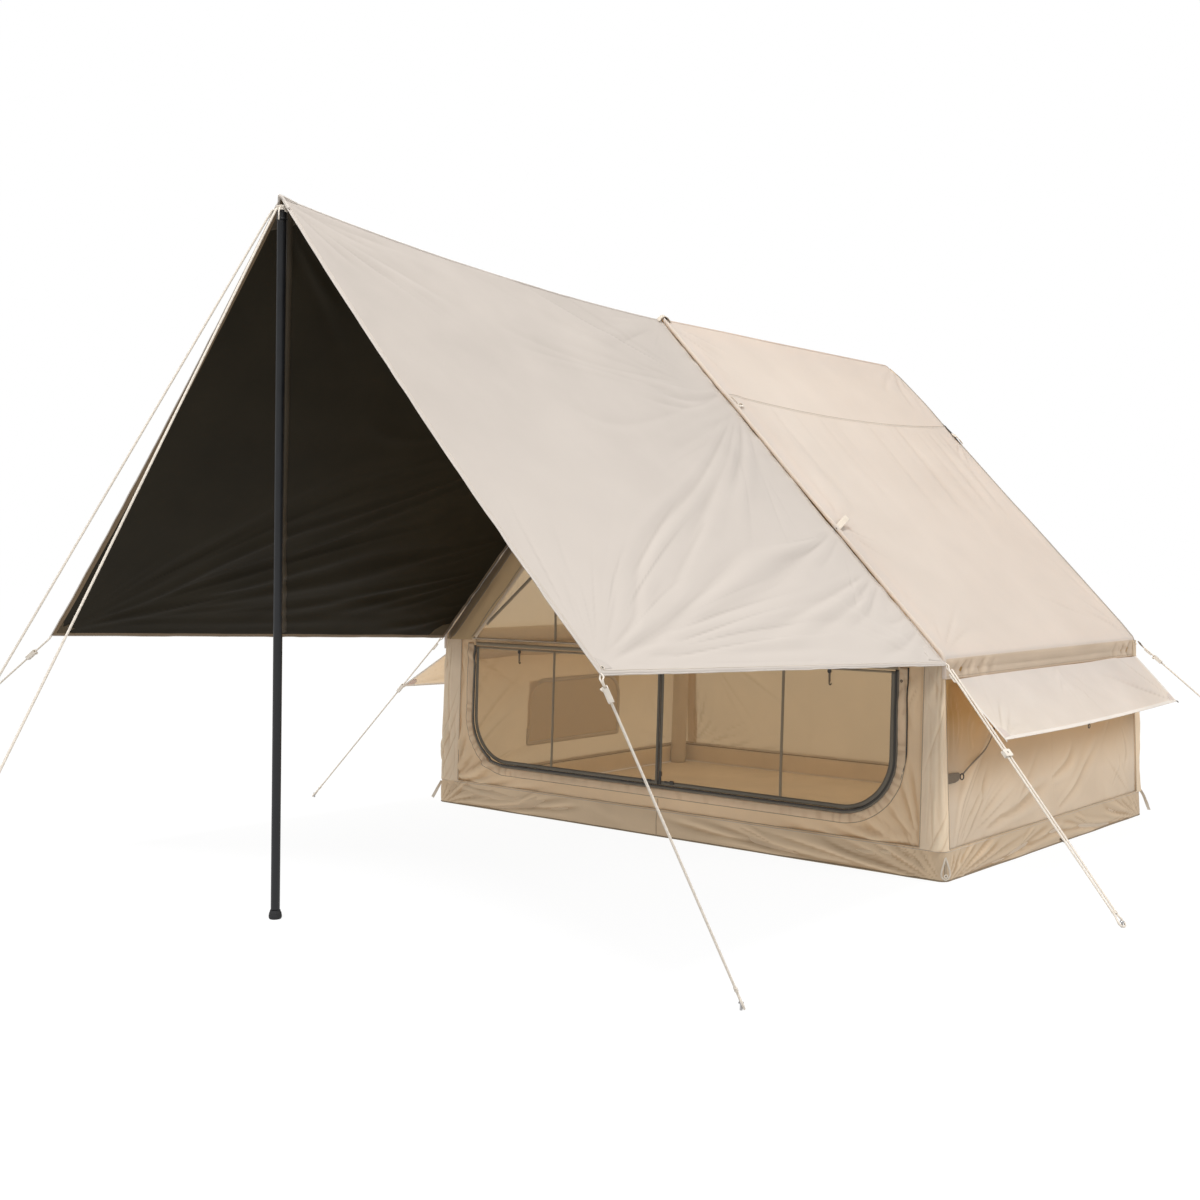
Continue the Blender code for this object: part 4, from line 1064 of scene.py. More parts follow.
roofs = {}
for side, name in ((-1, "left"), (1, "right")):
    surface = Surface(roof_base(side), roof_relief(side), (side, 0, 0.6))
    roofs[side] = surface
    S = lines(-1.036, 1.036, 0.0175)
    T = np.unique(np.round(np.concatenate([lines(0.0, EAVE_RUN - 0.05, 0.0150), np.linspace(SEAM_RUN - 0.02, SEAM_RUN + 0.07, 16), np.linspace(EAVE_RUN - 0.05, ROOF_LEN, 26)]), 6))
    T = T[np.concatenate([[True], np.diff(T) > 0.0012])]
    roof = cloth(f"roof_cover_{name}", surface, S, T, [ROOF, BAND], 0, pick=lambda s, t: t > EAVE_RUN + 0.004, marks=0.0034)
    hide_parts(f"roof_panel_{name}", f"eave_band_{name}")
    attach(roof, "tent")
    # double row of stitching over the cross seam and along the lower hem
    for n, (t, mat) in enumerate(((0.0, SEAM_TAN), (0.0085, SEAM_LIGHT), (None, SEAM))):
        path = [(s, ROOF_LEN - 0.010 if t is None else float(seam_run(s)) + t) for s in np.linspace(-1.03, 1.03, 160)]
        stitch = band(f"roof_stitch_{name}_{n}", surface, path, 0.0026 if n == 0 else 0.0018, [mat], lift=0.0007, thickness=0.0006, rows=2)
        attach(stitch, "tent")
    # piping down the rear edge
    edge = surface.at(np.full((110, 1), 1.036), np.linspace(0, ROOF_LEN, 110)[:, None])[:, 0]
    piping = pipe(f"roof_piping_rear_{name}", edge + [0, 0.001, 0], 0.0046, [PIPING], 8)
    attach(piping, "tent")
    edge = surface.at(np.full((110, 1), -1.036), np.linspace(0, ROOF_LEN, 110)[:, None])[:, 0]
    piping = pipe(f"roof_piping_front_{name}", edge + [side * 0.0030, -0.0090, 0.0040], 0.0092, [ROOF], 14)
    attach(piping, "tent")
    # a lifted lip just below the cross seam, with a dark pipe under it as painted shadow, and the toggle that holds it
    ts = np.linspace(SEAM_RUN + 0.012, SEAM_RUN + 0.105, 26)
    rise = np.sin(np.pi * np.linspace(0, 1, 26))
    gap = pipe(f"roof_lip_shadow_{name}", surface.at(np.full((26, 1), -1.034), ts[:, None], 0.0045)[:, 0], 0.0005 + 0.0048 * rise, [COIL], 10)
    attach(gap, "tent")
    lip = surface.at((-1.026 + 0 * rise)[:, None], ts[:, None], (0.004 + 0.0085 * rise)[:, None])[:, 0]
    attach(pipe(f"roof_lip_{name}", lip, 0.0034, [ROOF], 10), "tent")

    def on_roof(s, t, lift):
        return Vector(surface.at(np.array([[float(s)]]), np.array([[float(t)]]), lift)[0, 0])

    here, ahead = on_roof(-1.012, SEAM_RUN + 0.085, 0.0085), on_roof(-0.962, SEAM_RUN + 0.080, 0.0085)
    sideways = on_roof(-1.012, SEAM_RUN + 0.135, 0.0085) - here
    holes = [[(x + c, y) for x, y in arc(0, 0, 0.0030, 0, 345, 15)] for c in (-0.008, 0.008)]
    outline = [*arc(0.012, 0.0, 0.009, -90, 90, 8), *arc(-0.012, 0.0, 0.009, 90, 270, 8)]
    toggle = slab(f"roof_toggle_{name}", outline, 0.0055, axes(here, ahead - here, sideways), [CREAM], holes)
    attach(toggle, "tent")
    knot = np.array([tuple(here + (ahead - here).normalized() * x + Vector((0, 0, z))) for x, z in ((-0.022, -0.002), (-0.008, 0.006), (0.0, 0.008), (0.008, 0.006), (0.016, 0.002))])
    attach(pipe(f"roof_toggle_cord_{name}", resample(smooth_curve(knot, 6), 0.003), 0.0022, [SEAM], 8), "tent")
    # the second holder is a webbing tab that stands up and back over the roof, with a button at its root
    tab = [(-1.052, 1.385), (-1.028, 1.374), (-1.000, 1.362), (-0.972, 1.350), (-0.950, 1.342)]
    lifts = [0.004, 0.010, 0.019, 0.027, 0.031]
    rows = []
    for (a, b), up in zip(tab, lifts):
        rows.append([surface.at(np.array([[a + 0.35 * w]]), np.array([[b + w]]), up)[0, 0] for w in (-0.013, -0.006, 0.0, 0.006, 0.013)])
    rows = np.array(rows)
    tab_obj = build(f"roof_tab_{name}", rows, grid_faces(5, 5, flip=side > 0), [WEBBING], np.stack([np.repeat(np.arange(5) * 0.025, 5), np.tile(np.linspace(-0.013, 0.013, 5), 5)], 1))
    sub = tab_obj.modifiers.new("round", "SUBSURF")
    sub.levels = sub.render_levels = 2
    thick = tab_obj.modifiers.new("thickness", "SOLIDIFY")
    thick.thickness = 0.0040
    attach(tab_obj, "tent")
    spot = on_roof(-1.046, 1.384, 0.007)
    button = slab(f"roof_tab_button_{name}", arc(0, 0, 0.0085, 0, 345, 23), 0.0050, axes(spot, on_roof(-1.0, 1.384, 0.007) - spot, on_roof(-1.046, 1.43, 0.007) - spot), [DARK])
    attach(button, "tent")
    # the same tab on the rear edge, where it pulls a tuck into the edge; a dark pipe in the tuck is painted shadow
    tuck = np.linspace(0.50, 0.66, 22)
    swell = np.sin(np.pi * np.linspace(0, 1, 22))
    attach(pipe(f"roof_rear_gap_{name}", surface.at(np.full((22, 1), 1.030), tuck[:, None], 0.004)[:, 0], 0.0005 + 0.0050 * swell, [COIL], 10), "tent")
    rows = np.array([[surface.at(np.array([[1.000 + 0.0085 * i]]), np.array([[0.600 + 0.016 * i + w]]), 0.012 + 0.010 * math.sin(math.pi * i / 4))[0, 0] for w in (-0.014, -0.006, 0.0, 0.006, 0.014)] for i in range(5)])
    tab_obj = build(f"roof_rear_tab_{name}", rows, grid_faces(5, 5, flip=side > 0), [WEBBING], np.stack([np.repeat(np.arange(5) * 0.02, 5), np.tile(np.linspace(-0.014, 0.014, 5), 5)], 1))
    sub = tab_obj.modifiers.new("round", "SUBSURF")
    sub.levels = sub.render_levels = 2
    thick = tab_obj.modifiers.new("thickness", "SOLIDIFY")
    thick.thickness = 0.0035
    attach(tab_obj, "tent")

ridge_top = roofs[1].at(np.linspace(-1.036, 1.036, 100)[:, None], np.zeros((100, 1)))[:, 0]
ridge_top[:, 0] = 0
cap = pipe("roof_ridge_seam", ridge_top + [0, 0, -0.003], 0.0060, [ROOF], 12)
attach(cap, "tent")
# webbing loop that joins the two ridges
hump = np.array([(0.0, -1.085 + 0.095 * q, 2.436 + 0.030 * math.sin(math.pi * q) ** 0.8) for q in np.linspace(0, 1, 24)])
rows = np.stack([hump + [dx, 0, -abs(dx) * 0.55] for dx in (-0.016, -0.008, 0.0, 0.008, 0.016)], 1)
loop = build("ridge_webbing_loop", rows, grid_faces(24, 5, flip=True), [WEBBING], np.stack([np.repeat(np.linspace(0, 0.1, 24), 5), np.tile(np.linspace(-0.016, 0.016, 5), 24)], 1))
thick = loop.modifiers.new("thickness", "SOLIDIFY")
thick.thickness = 0.0035
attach(loop, "tent")
# a dark pipe under the loop: painted shadow
under = pipe("ridge_loop_gap", np.array([(0.0, -1.075 + 0.075 * q, 2.4395 + 0.014 * math.sin(math.pi * q)) for q in np.linspace(0, 1, 14)]), 0.0005 + 0.0085 * np.sin(np.pi * np.linspace(0, 1, 14)), [COIL], 10)
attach(under, "tent")


# ------------------------------------------------------------------ walls
def side_base(side):
    """S is y, T the height."""

    def f(S, T):
        return np.stack([side * (HALF_W - LEAN * T), S, T + 0 * S], -1)

    return f


def end_base(end):
    """S is x, T the height. end is -1 for the door wall and 1 for the rear wall."""

    def f(S, T):
        return np.stack([S, end * (HALF_D - LEAN * T), T + 0 * S], -1)

    return f


WALL_CREASES = [
    ([(-0.962, 0.138), (-0.894, 0.296), (-0.781, 0.437), (-0.647, 0.533)], 0.020, 1.0),
    ([(-0.838, 0.166), (-0.722, 0.275), (-0.682, 0.379), (-0.616, 0.467)], 0.018, 0.8),
    ([(-0.702, 0.163), (-0.451, 0.212), (-0.223, 0.253), (0.039, 0.316)], 0.026, 1.0),
    ([(-0.003, 0.303), (0.209, 0.375), (0.269, 0.482)], 0.024, 0.9),
    ([(0.040, 0.154), (0.265, 0.238), (0.402, 0.329), (0.579, 0.464)], 0.025, 0.8),
    ([(-0.578, 0.201), (-0.377, 0.207), (-0.103, 0.298)], 0.018, 0.7),
    ([(-1.004, 0.777), (-0.992, 0.648), (-0.999, 0.460)], 0.011, 0.8),
    ([(-0.946, 0.758), (-0.907, 0.641), (-0.943, 0.500)], 0.011, 0.7),
    ([(-0.819, 0.518), (-0.814, 0.618), (-0.768, 0.676)], 0.012, 0.6),
    ([(0.840, 0.478), (0.897, 0.352), (0.861, 0.244)], 0.014, 0.6),
    ([(0.714, 0.195), (0.790, 0.270), (0.820, 0.359)], 0.014, 0.4),
    ([(-0.376, 0.231), (-0.197, 0.375), (-0.093, 0.481)], 0.022, 0.4),
]


def side_relief(side):
    seed = 200 if side > 0 else 240

    def f(S, T):
        d = 0.004 * np.exp(-(((S + 0.96) / 0.05) ** 2)) + 0.005 * np.exp(-(((S - 0.965) / 0.045) ** 2))
        d -= 0.010 * np.clip(1 - (S / 0.9) ** 2, 0, 1) * np.sin(np.pi * np.clip(T / 0.9, 0, 1))
        # broad bent folds rise from the lower front corner towards the upper rear one
        if side > 0:
            d += creases(S, T, WALL_CREASES, 0.50)
        d += fan(S, T, (-1.02, 0.03), 14, 84, 6, 1.45, 0.0150, seed, bend=-14)
        d += fan(S, T, (-1.02, 0.08), 4, 46, 6, 0.75, 0.0075, seed + 1)
        d += fan(S, T, (-0.99, 0.86), -62, -10, 5, 0.95, 0.0075, seed + 2)
        d += fan(S, T, (1.00, 0.86), 190, 262, 6, 0.95, 0.0085, seed + 3)
        d += fan(S, T, (0.98, 0.08), 96, 166, 5, 0.60, 0.0070, seed + 4)
        d += 0.0040 * value_noise(S * 2.6 + T * 2.0, T * 2.2, seed + 5)
        d += 0.0016 * np.exp(-(((S - 0.027) / 0.004) ** 2)) * smoothstep(T, 0.13, 0.16) * (1 - smoothstep(T, 0.58, 0.62))
        near = np.exp(-np.abs(T - 0.13) / 0.045)
        d += 0.0042 * near * value_noise(S * 17, T * 6, seed + 6)
        d *= smoothstep(T, 0.09, 0.20) * 0.8 + 0.2
        top = smoothstep(T, 0.76, 0.83)
        d = d * (1 - top) - 0.003 * top
        return d * smoothstep(T, 0.0, 0.02)

    return f


def end_relief(end):
    seed = 300 if end < 0 else 340

    def f(S, T):
        d = 0.0 * S
        a = np.abs(S)
        d += 0.006 * np.exp(-(((a - 1.415) / 0.040) ** 2))
        d -= 0.0040 * np.exp(-(((a - 1.375) / 0.012) ** 2))
        table = []
        for x, y in (((1.330, 0.52), 0.9), ((1.285, 0.40), 1.0), ((1.225, 0.30), 0.9), ((1.08, 0.215), 1.0), ((0.88, 0.185), 0.9), ((0.62, 0.175), 0.7)):
            bend = 0.018 + 0.04 * (1.40 - x[0])
            table.append(([(1.392, 0.135), ((1.392 + x[0]) / 2 + bend * 0.4, (0.135 + x[1]) / 2 - bend), x], 0.015 + 0.010 * (1.40 - x[0]), y))
        table.append(([(1.37, 0.80), (1.33, 0.70), (1.335, 0.58)], 0.014, 0.8))
        table.append(([(1.30, 0.84), (1.315, 0.74), (1.30, 0.62)], 0.010, 0.6))
        d += creases(np.abs(S) + 0.012 * np.sign(S), T, table, 0.55)
        for sgn in (-1, 1):
            turn = lambda x, y: (x, y) if sgn > 0 else (180 - y, 180 - x)
            lo, hi = turn(95, 150)
            d += fan(S, T, (sgn * 1.385, 0.125), lo, hi, 4, 0.52, 0.0110, seed + sgn)
            lo, hi = turn(150, 178)
            d += fan(S, T, (sgn * 1.385, 0.125), lo, hi, 3, 0.70, 0.0090, seed + 4 + sgn)
            lo, hi = turn(182, 258)
            d += fan(S, T, (sgn * 1.385, 0.86), lo, hi, 4, 0.35, 0.0060, seed + 8 + sgn)
        d += 0.0028 * value_noise(S * 3.2, T * 3.6, seed + 12)
        near = np.exp(-np.abs(T - 0.13) / 0.03)
        d += 0.0026 * near * value_noise(S * 18, T * 6, seed + 13)
        if end > 0:
            d -= 0.012 * np.clip(1 - (S / 1.35) ** 2, 0, 1) * np.sin(np.pi * np.clip(T / 0.9, 0, 1))
            d += fan(S, T, (-1.38, 0.86), -60, -6, 6, 1.3, 0.010, seed + 14)
            d += fan(S, T, (1.38, 0.86), 186, 240, 6, 1.3, 0.010, seed + 15)
            d += drapes(S, T, 96, 0.22, 0.7, 0.004, seed + 16)
        return d * smoothstep(T, 0.0, 0.02)

    return f


front = Surface(end_base(-1), end_relief(-1), (0, -1, 0))
rear = Surface(end_base(1), end_relief(1), (0, 1, 0))
walls = {s: Surface(side_base(s), side_relief(s), (s, 0, 0)) for s in (-1, 1)}

WIN_LOW, WIN_HIGH, WIN_HALF, WIN_R = 0.262, 0.600, 0.390, 0.12
WALL_S, WALL_LOW, WALL_HIGH = 1.035, 0.004, 0.898


def ring_sheet(name, surface, hole, outer, rows, mats, thickness=0.0022, inner=None, pick=None):
    """Cloth between a hole's outline and an outer outline, both with the same number of points."""
    hole, outer = np.asarray(hole, float), np.asarray(outer, float)
    w = np.linspace(0, 1, rows) ** 1.25
    S = hole[:, None, 0] + (outer - hole)[:, None, 0] * w[None]
    T = hole[:, None, 1] + (outer - hole)[:, None, 1] * w[None]
    points = surface.at(S, T)
    faces = grid_faces(len(hole), rows, wrap=True)
    n0 = np.cross(points[1, 0] - points[0, 0], points[0, -1] - points[0, 0])
    want = surface.normal(S[:1, :1], T[:1, :1])[0, 0]
    if float((n0 * want).sum()) < 0:
        faces = faces[:, ::-1]
    picked = pick(S.ravel()[faces].mean(1), T.ravel()[faces].mean(1)).astype(int) if pick else None
    obj = build(name, points, faces, mats, np.stack([S.ravel(), T.ravel()], 1), picked)
    if surface.relief:
        mark_folds(obj, surface.relief, S, T)
    return shell(obj, thickness, inner)


def spaced(outline, count):
    """Points evenly spaced round a closed outline."""
    outline = np.asarray(list(outline) + [outline[0]], float)
    run = np.concatenate([[0], np.cumsum(np.linalg.norm(np.diff(outline, axis=0), axis=1))])
    at = np.linspace(0, run[-1], count, endpoint=False)
    return np.stack([np.interp(at, run, outline[:, i]) for i in (0, 1)], 1)


def matched(hole, low, high, half):
    """For each point of a hole, the point of the outer box that lies straight out from the hole's middle."""
    centre = np.array([hole[:, 0].mean(), (hole[:, 1].min() + hole[:, 1].max()) / 2])
    span = np.array([(hole[:, 0].max() - hole[:, 0].min()) / 2, (hole[:, 1].max() - hole[:, 1].min()) / 2])
    out = []
    for p in hole:
        d = (p - centre) / span
        k = 1 / max(abs(d[0]), abs(d[1]), 1e-9)
        d = d * k
        x = centre[0] + d[0] * (half - centre[0] * np.sign(d[0]))
        y = centre[1] + (d[1] * (high - centre[1]) if d[1] > 0 else d[1] * (centre[1] - low))
        out.append((x, y))
    out = np.array(out)
    for cx in (-half, half):
        for cy in (low, high):
            i = int(np.argmin(np.hypot(out[:, 0] - cx, out[:, 1] - cy)))
            out[i] = (cx, cy)
    return out


def window_outline(grow):
    low, high, half, r = WIN_LOW - grow, WIN_HIGH + grow, WIN_HALF + grow, WIN_R + grow
    return [(-half, low), (half, low), *arc(half - r, high - r, r, 0, 90, 14), *arc(-half + r, high - r, r, 90, 180, 14)]


# the right-hand wall is whole, the left-hand wall has its window
right_wall = cloth("wall_cloth_right", walls[1], lines(-WALL_S, WALL_S, 0.0120, (0.027,)), lines(WALL_LOW, WALL_HIGH, 0.0120), [RIGHT_WALL_PAINTED_SHADE, INNER], 0)
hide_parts("wall_right")
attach(right_wall, "tent")
hole = spaced(window_outline(0.0), 260)
left_wall = ring_sheet("wall_cloth_left", walls[-1], hole, matched(hole, WALL_LOW, WALL_HIGH, WALL_S), 30, [WALL, MESH], 0)
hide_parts("wall_left")
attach(left_wall, "tent")
flat_left = Surface(side_base(-1), None, (-1, 0, 0))
window = cloth("window_net_left", flat_left, lines(-WIN_HALF - 0.012, WIN_HALF + 0.012, 0.02), lines(WIN_LOW - 0.012, WIN_HIGH + 0.012, 0.02), [WINDOW], 0, lift=-0.008)
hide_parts("window_mesh_left")
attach(window, "tent")
for lift, where in ((0.0030, "out"), (-0.0085, "in")):
    frame_band = band(f"window_frame_left_{where}", walls[-1] if lift > 0 else flat_left, spaced(window_outline(0.010), 220), 0.024, [SLEEVE if lift > 0 else SEAM_LIGHT], lift=lift, closed=True)
    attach(frame_band, "tent")

rear_wall = cloth("wall_cloth_rear", rear, lines(-1.44, 1.44, 0.018), lines(WALL_LOW, WALL_HIGH, 0.018), [WALL, INNER], 0)
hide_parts("wall_rear")
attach(rear_wall, "tent")

# the door wall: cloth round the door hole
DOOR_HALF, DOOR_LOW, DOOR_TOP, DOOR_R = 1.253, 0.242, 0.856, 0.25
door_loop = [
    *arc(-DOOR_HALF + DOOR_R, DOOR_LOW + DOOR_R, DOOR_R, 180, 270, 24),
    *arc(DOOR_HALF - DOOR_R, DOOR_LOW + DOOR_R, DOOR_R, 270, 360, 24),
    (DOOR_HALF, DOOR_TOP),
    (-DOOR_HALF, DOOR_TOP),
]
hole = spaced(door_loop, 420)
front_wall = ring_sheet("wall_cloth_front", front, hole, matched(hole, WALL_LOW, WALL_HIGH, 1.445), 26, [DOOR_WALL, MESH], 0, pick=lambda s, t: (t > 0.862) & (np.abs(s) < 1.262))
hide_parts("wall_front")
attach(front_wall, "tent")


def door_path(grow, top):
    """From the top left down, round and up to the top right, this far outside the hole."""
    half, low, r = DOOR_HALF + grow, DOOR_LOW - grow, DOOR_R + grow
    pts = [(-half, top)]
    pts += [(-half, z) for z in np.linspace(top, low + r, 30)[1:]]
    pts += arc(-half + r, low + r, r, 180, 270, 30)[1:]
    pts += [(x, low) for x in np.linspace(-half + r, half - r, 120)[1:]]
    pts += arc(half - r, low + r, r, 270, 360, 30)[1:]
    pts += [(half, z) for z in np.linspace(low + r, top, 30)[1:]]
    return pts


def puckered(S, T):
    base = end_relief(-1)(S, T)
    # small wrinkles run across the flap, closest in its rounded corners
    x, z = np.abs(S), T
    turn = np.arctan2(z - (DOOR_LOW + DOOR_R), x - (DOOR_HALF - DOOR_R))
    corner = smoothstep(x, DOOR_HALF - DOOR_R - 0.10, DOOR_HALF - DOOR_R + 0.05) * (1 - smoothstep(z, DOOR_LOW + DOOR_R, DOOR_LOW + DOOR_R + 0.15))
    across = 0.0034 * value_noise(turn * 24 + 2.0, x * 2 + z * 2, 378) * corner
    return base + across + 0.0014 * value_noise(S * 26 + T * 8, T * 26 - S * 6, 377)


puckers = Surface(end_base(-1), puckered, (0, -1, 0))
flap = band("door_zip_flap", puckers, door_path(0.034, 0.868), 0.040, [DOOR_WALL], lift=0.0022, rows=8, crown=0.0035, marks=0.0006)
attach(flap, "tent")
seam = band("door_zip_flap_seam", puckers, door_path(0.0545, 0.868), 0.0030, [SEAM], lift=0.0030, rows=2)
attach(seam, "tent")
outer_tape = band("door_zip_tape_outer", front, door_path(0.0070, 0.856), 0.0135, [ZIP_TAPE], lift=0.0016, rows=3)
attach(outer_tape, "tent")
coil = band("door_zip_coil", front, door_path(0.0005, 0.856), 0.0090, [COIL], lift=0.0030, rows=4, crown=0.0016)
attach(coil, "tent")
top_bar = band("door_top_tape", front, [(x, 0.8645) for x in np.linspace(-1.250, 1.262, 160)], 0.018, [TAPE], lift=0.0024, rows=4, crown=0.001)
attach(top_bar, "tent")
# a dark pipe along the storm flap's edge at the right, thinning at its foot: painted shadow where the flap stands off
# the wall
path = [(1.310, z) for z in np.linspace(0.868, 0.52, 40)] + [(1.310 - 0.028 * q * q, 0.52 - 0.13 * q) for q in np.linspace(0, 1, 16)[1:]]
shade = pipe("door_storm_flap_edge", front.at(np.array(path)[:, :1], np.array(path)[:, 1:], 0.0030)[:, 0], np.concatenate([np.full(40, 0.0030), np.linspace(0.0030, 0.0006, 15)]), [COIL], 8)
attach(shade, "tent")
spot = Vector(front.at(np.array([[1.279]]), np.array([[0.810]]), 0.004)[0, 0])
button = slab("door_button", arc(0, 0, 0.0065, 0, 345, 23), 0.0060, axes(spot, (1, 0, 0), (0, LEAN, 1)), [STRAP])
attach(button, "tent")


# ------------------------------------------------------------------ corner sleeves and skirt
def perimeter(inset, radius):
    """Half the floor's outline as a closed rounded rectangle: points and outward normals."""
    hw, hd = HALF_W - inset, HALF_D - inset
    pts, nrm = [], []
    for cx, cy, a in ((hw, hd, 0), (-hw, hd, 90), (-hw, -hd, 180), (hw, -hd, 270)):
        ccx, ccy = cx - math.copysign(radius, cx), cy - math.copysign(radius, cy)
        for i in range(13):
            t = math.radians(a + 90 * i / 12)
            pts.append((ccx + radius * math.cos(t), ccy + radius * math.sin(t)))
            nrm.append((math.cos(t), math.sin(t)))
    return np.array(pts), np.array(nrm)


CORNER_R = 0.032
ring_pts, ring_nrm = perimeter(0.0, CORNER_R)
ring_run = np.concatenate([[0], np.cumsum(np.linalg.norm(np.diff(np.vstack([ring_pts, ring_pts[:1]]), axis=0), axis=1))])
RING = float(ring_run[-1])
closed_pts = np.vstack([ring_pts, ring_pts[:1]])
closed_nrm = np.vstack([ring_nrm, ring_nrm[:1]])
ARC = math.pi / 2 * CORNER_R
# run at the middle of each corner: rear right, rear left, front left, front right
MIDS = [ring_run[6], ring_run[19], ring_run[32], ring_run[45]]


def ring_base(S, T):
    s = np.mod(S, RING)
    x = np.interp(s, ring_run, closed_pts[:, 0])
    y = np.interp(s, ring_run, closed_pts[:, 1])
    nx = np.interp(s, ring_run, closed_nrm[:, 0])
    ny = np.interp(s, ring_run, closed_nrm[:, 1])
    return np.stack([x - np.sign(nx) * (np.abs(nx) > 1e-6) * LEAN * T * np.abs(nx), y - ny * LEAN * T, T + 0 * S], -1)


def ring_normal(S):
    s = np.mod(S, RING)
    nx = np.interp(s, ring_run, closed_nrm[:, 0])
    ny = np.interp(s, ring_run, closed_nrm[:, 1])
    n = np.stack([nx, ny, 0 * nx + LEAN], -1)
    return n / np.linalg.norm(n, axis=-1, keepdims=True)


class Ring(Surface):
    def __init__(self, relief):
        self.base, self.relief, self.outward = ring_base, relief, None

    def normal(self, S, T):
        return ring_normal(np.asarray(S, float) + 0 * np.asarray(T, float))

    def faces_out(self, S, T):
        return True


def signed(S, mid):
    return np.mod(S - mid + RING / 2, RING) - RING / 2


SKIRT_TOP = 0.131


SKIRT_CREASES = [
    ([(0.060, 0.010), (0.180, 0.072), (0.285, 0.126)], 0.010, 1.0),
    ([(0.030, 0.006), (0.095, 0.070), (0.140, 0.122)], 0.008, 0.9),
    ([(0.080, 0.008), (0.360, 0.068), (0.520, 0.120)], 0.012, 1.1),
    ([(0.120, 0.008), (0.570, 0.022), (1.050, 0.115)], 0.016, 1.2),
    ([(0.570, 0.030), (0.950, 0.054), (1.240, 0.092)], 0.014, 0.9),
    ([(0.690, 0.046), (0.760, 0.076), (0.880, 0.113)], 0.010, 0.7),
    ([(0.020, 0.020), (0.060, 0.080), (0.070, 0.122)], 0.007, 0.8),
]


def skirt_relief(S, T):
    d = 0.0 * S
    for n, mid in enumerate(MIDS):
        q = signed(S, mid)
        for way in (-1, 1):
            size = (1.0, 0.8, 1.15, 0.9, 1.1, 0.85, 1.2, 1.0)[2 * n + (way > 0)]
            d += creases(q * way / size, T, SKIRT_CREASES, 0.62)
    for n, mid in enumerate(MIDS):
        q = signed(S, mid)
        d += fan(q, T, (0.030, -0.012), 3, 24, 4, 1.25, 0.0130, 400 + n, least=0.006)
        d += fan(q, T, (0.030, -0.006), 20, 66, 6, 0.42, 0.0085, 410 + n, least=0.006)
        d += fan(q, T, (-0.030, -0.012), 156, 177, 4, 1.25, 0.0130, 420 + n, least=0.006)
        d += fan(q, T, (-0.030, -0.006), 114, 160, 6, 0.42, 0.0085, 430 + n, least=0.006)
    body = np.sin(np.pi * np.clip(T / SKIRT_TOP, 0, 1)) ** 0.6
    d += 0.0035 * value_noise(S * 5.0 + T * 14.0, T * 10.0, 480) * body
    d += 0.0022 * value_noise(S * 22.0, T * 5.0, 481) * np.exp(-(SKIRT_TOP - T) / 0.03)
    return d * (0.35 + 0.65 * body) + 0.0032 + 0.0035 * body


skirt_surface = Ring(skirt_relief)
S = np.unique(np.round(np.concatenate([np.linspace(0, RING, 1000)[:-1]] + [np.linspace(m - 0.03, m + 0.03, 15) for m in MIDS]), 5))
T = np.linspace(0.0012, SKIRT_TOP, 17)
SS, TT = np.meshgrid(S, T, indexing="ij")
pts = skirt_surface.at(SS, TT)
pts[..., 2] = np.maximum(pts[..., 2], 0.0012)
skirt = build("skirt_cloth_band", pts, grid_faces(len(S), len(T), wrap=True), [SKIRT, INNER], np.stack([SS.ravel(), TT.ravel()], 1))
mark_folds(skirt, skirt_relief, SS, TT, 1, 0.0008)
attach(skirt, "tent")
loop = np.linspace(0, RING, 720, endpoint=False)
pts = skirt_surface.at(loop[:, None], np.full((720, 1), SKIRT_TOP), -0.0005)[:, 0]
middle = float(loop[int(np.argmin(np.abs(pts[:, 0]) + 9.0 * (pts[:, 1] > 0)))])
low_part = skirt_surface.at(np.full((20, 1), middle), np.linspace(SKIRT_TOP - 0.001, 0.006, 20)[:, None], 0.0008)[:, 0]
high_part = front.at(np.full((12, 1), float(low_part[0, 0])), np.linspace(0.180, SKIRT_TOP + 0.004, 12)[:, None], 0.0008)[:, 0]
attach(pipe("front_middle_seam_low", low_part, 0.0016, [SEAM], 8), "tent")
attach(pipe("front_middle_seam_high", high_part, 0.0016, [SEAM], 8), "tent")
seam = pipe("skirt_seam", pts, 0.0015, [SEAM], 6, closed=True)
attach(seam, "tent")
pts = skirt_surface.at(loop[:, None], np.full((720, 1), SKIRT_TOP - 0.009), 0.0006)[:, 0]
seam = pipe("skirt_stitch", pts, 0.0012, [SEAM_LIGHT], 6, closed=True)
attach(seam, "tent")
pts = skirt_surface.at(loop[:, None], np.full((720, 1), 0.004), -0.001)[:, 0]
pts[:, 2] = 0.0052
hem = pipe("skirt_hem_cord", pts, 0.0038, [TAPE], 8, closed=True)
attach(hem, "tent")


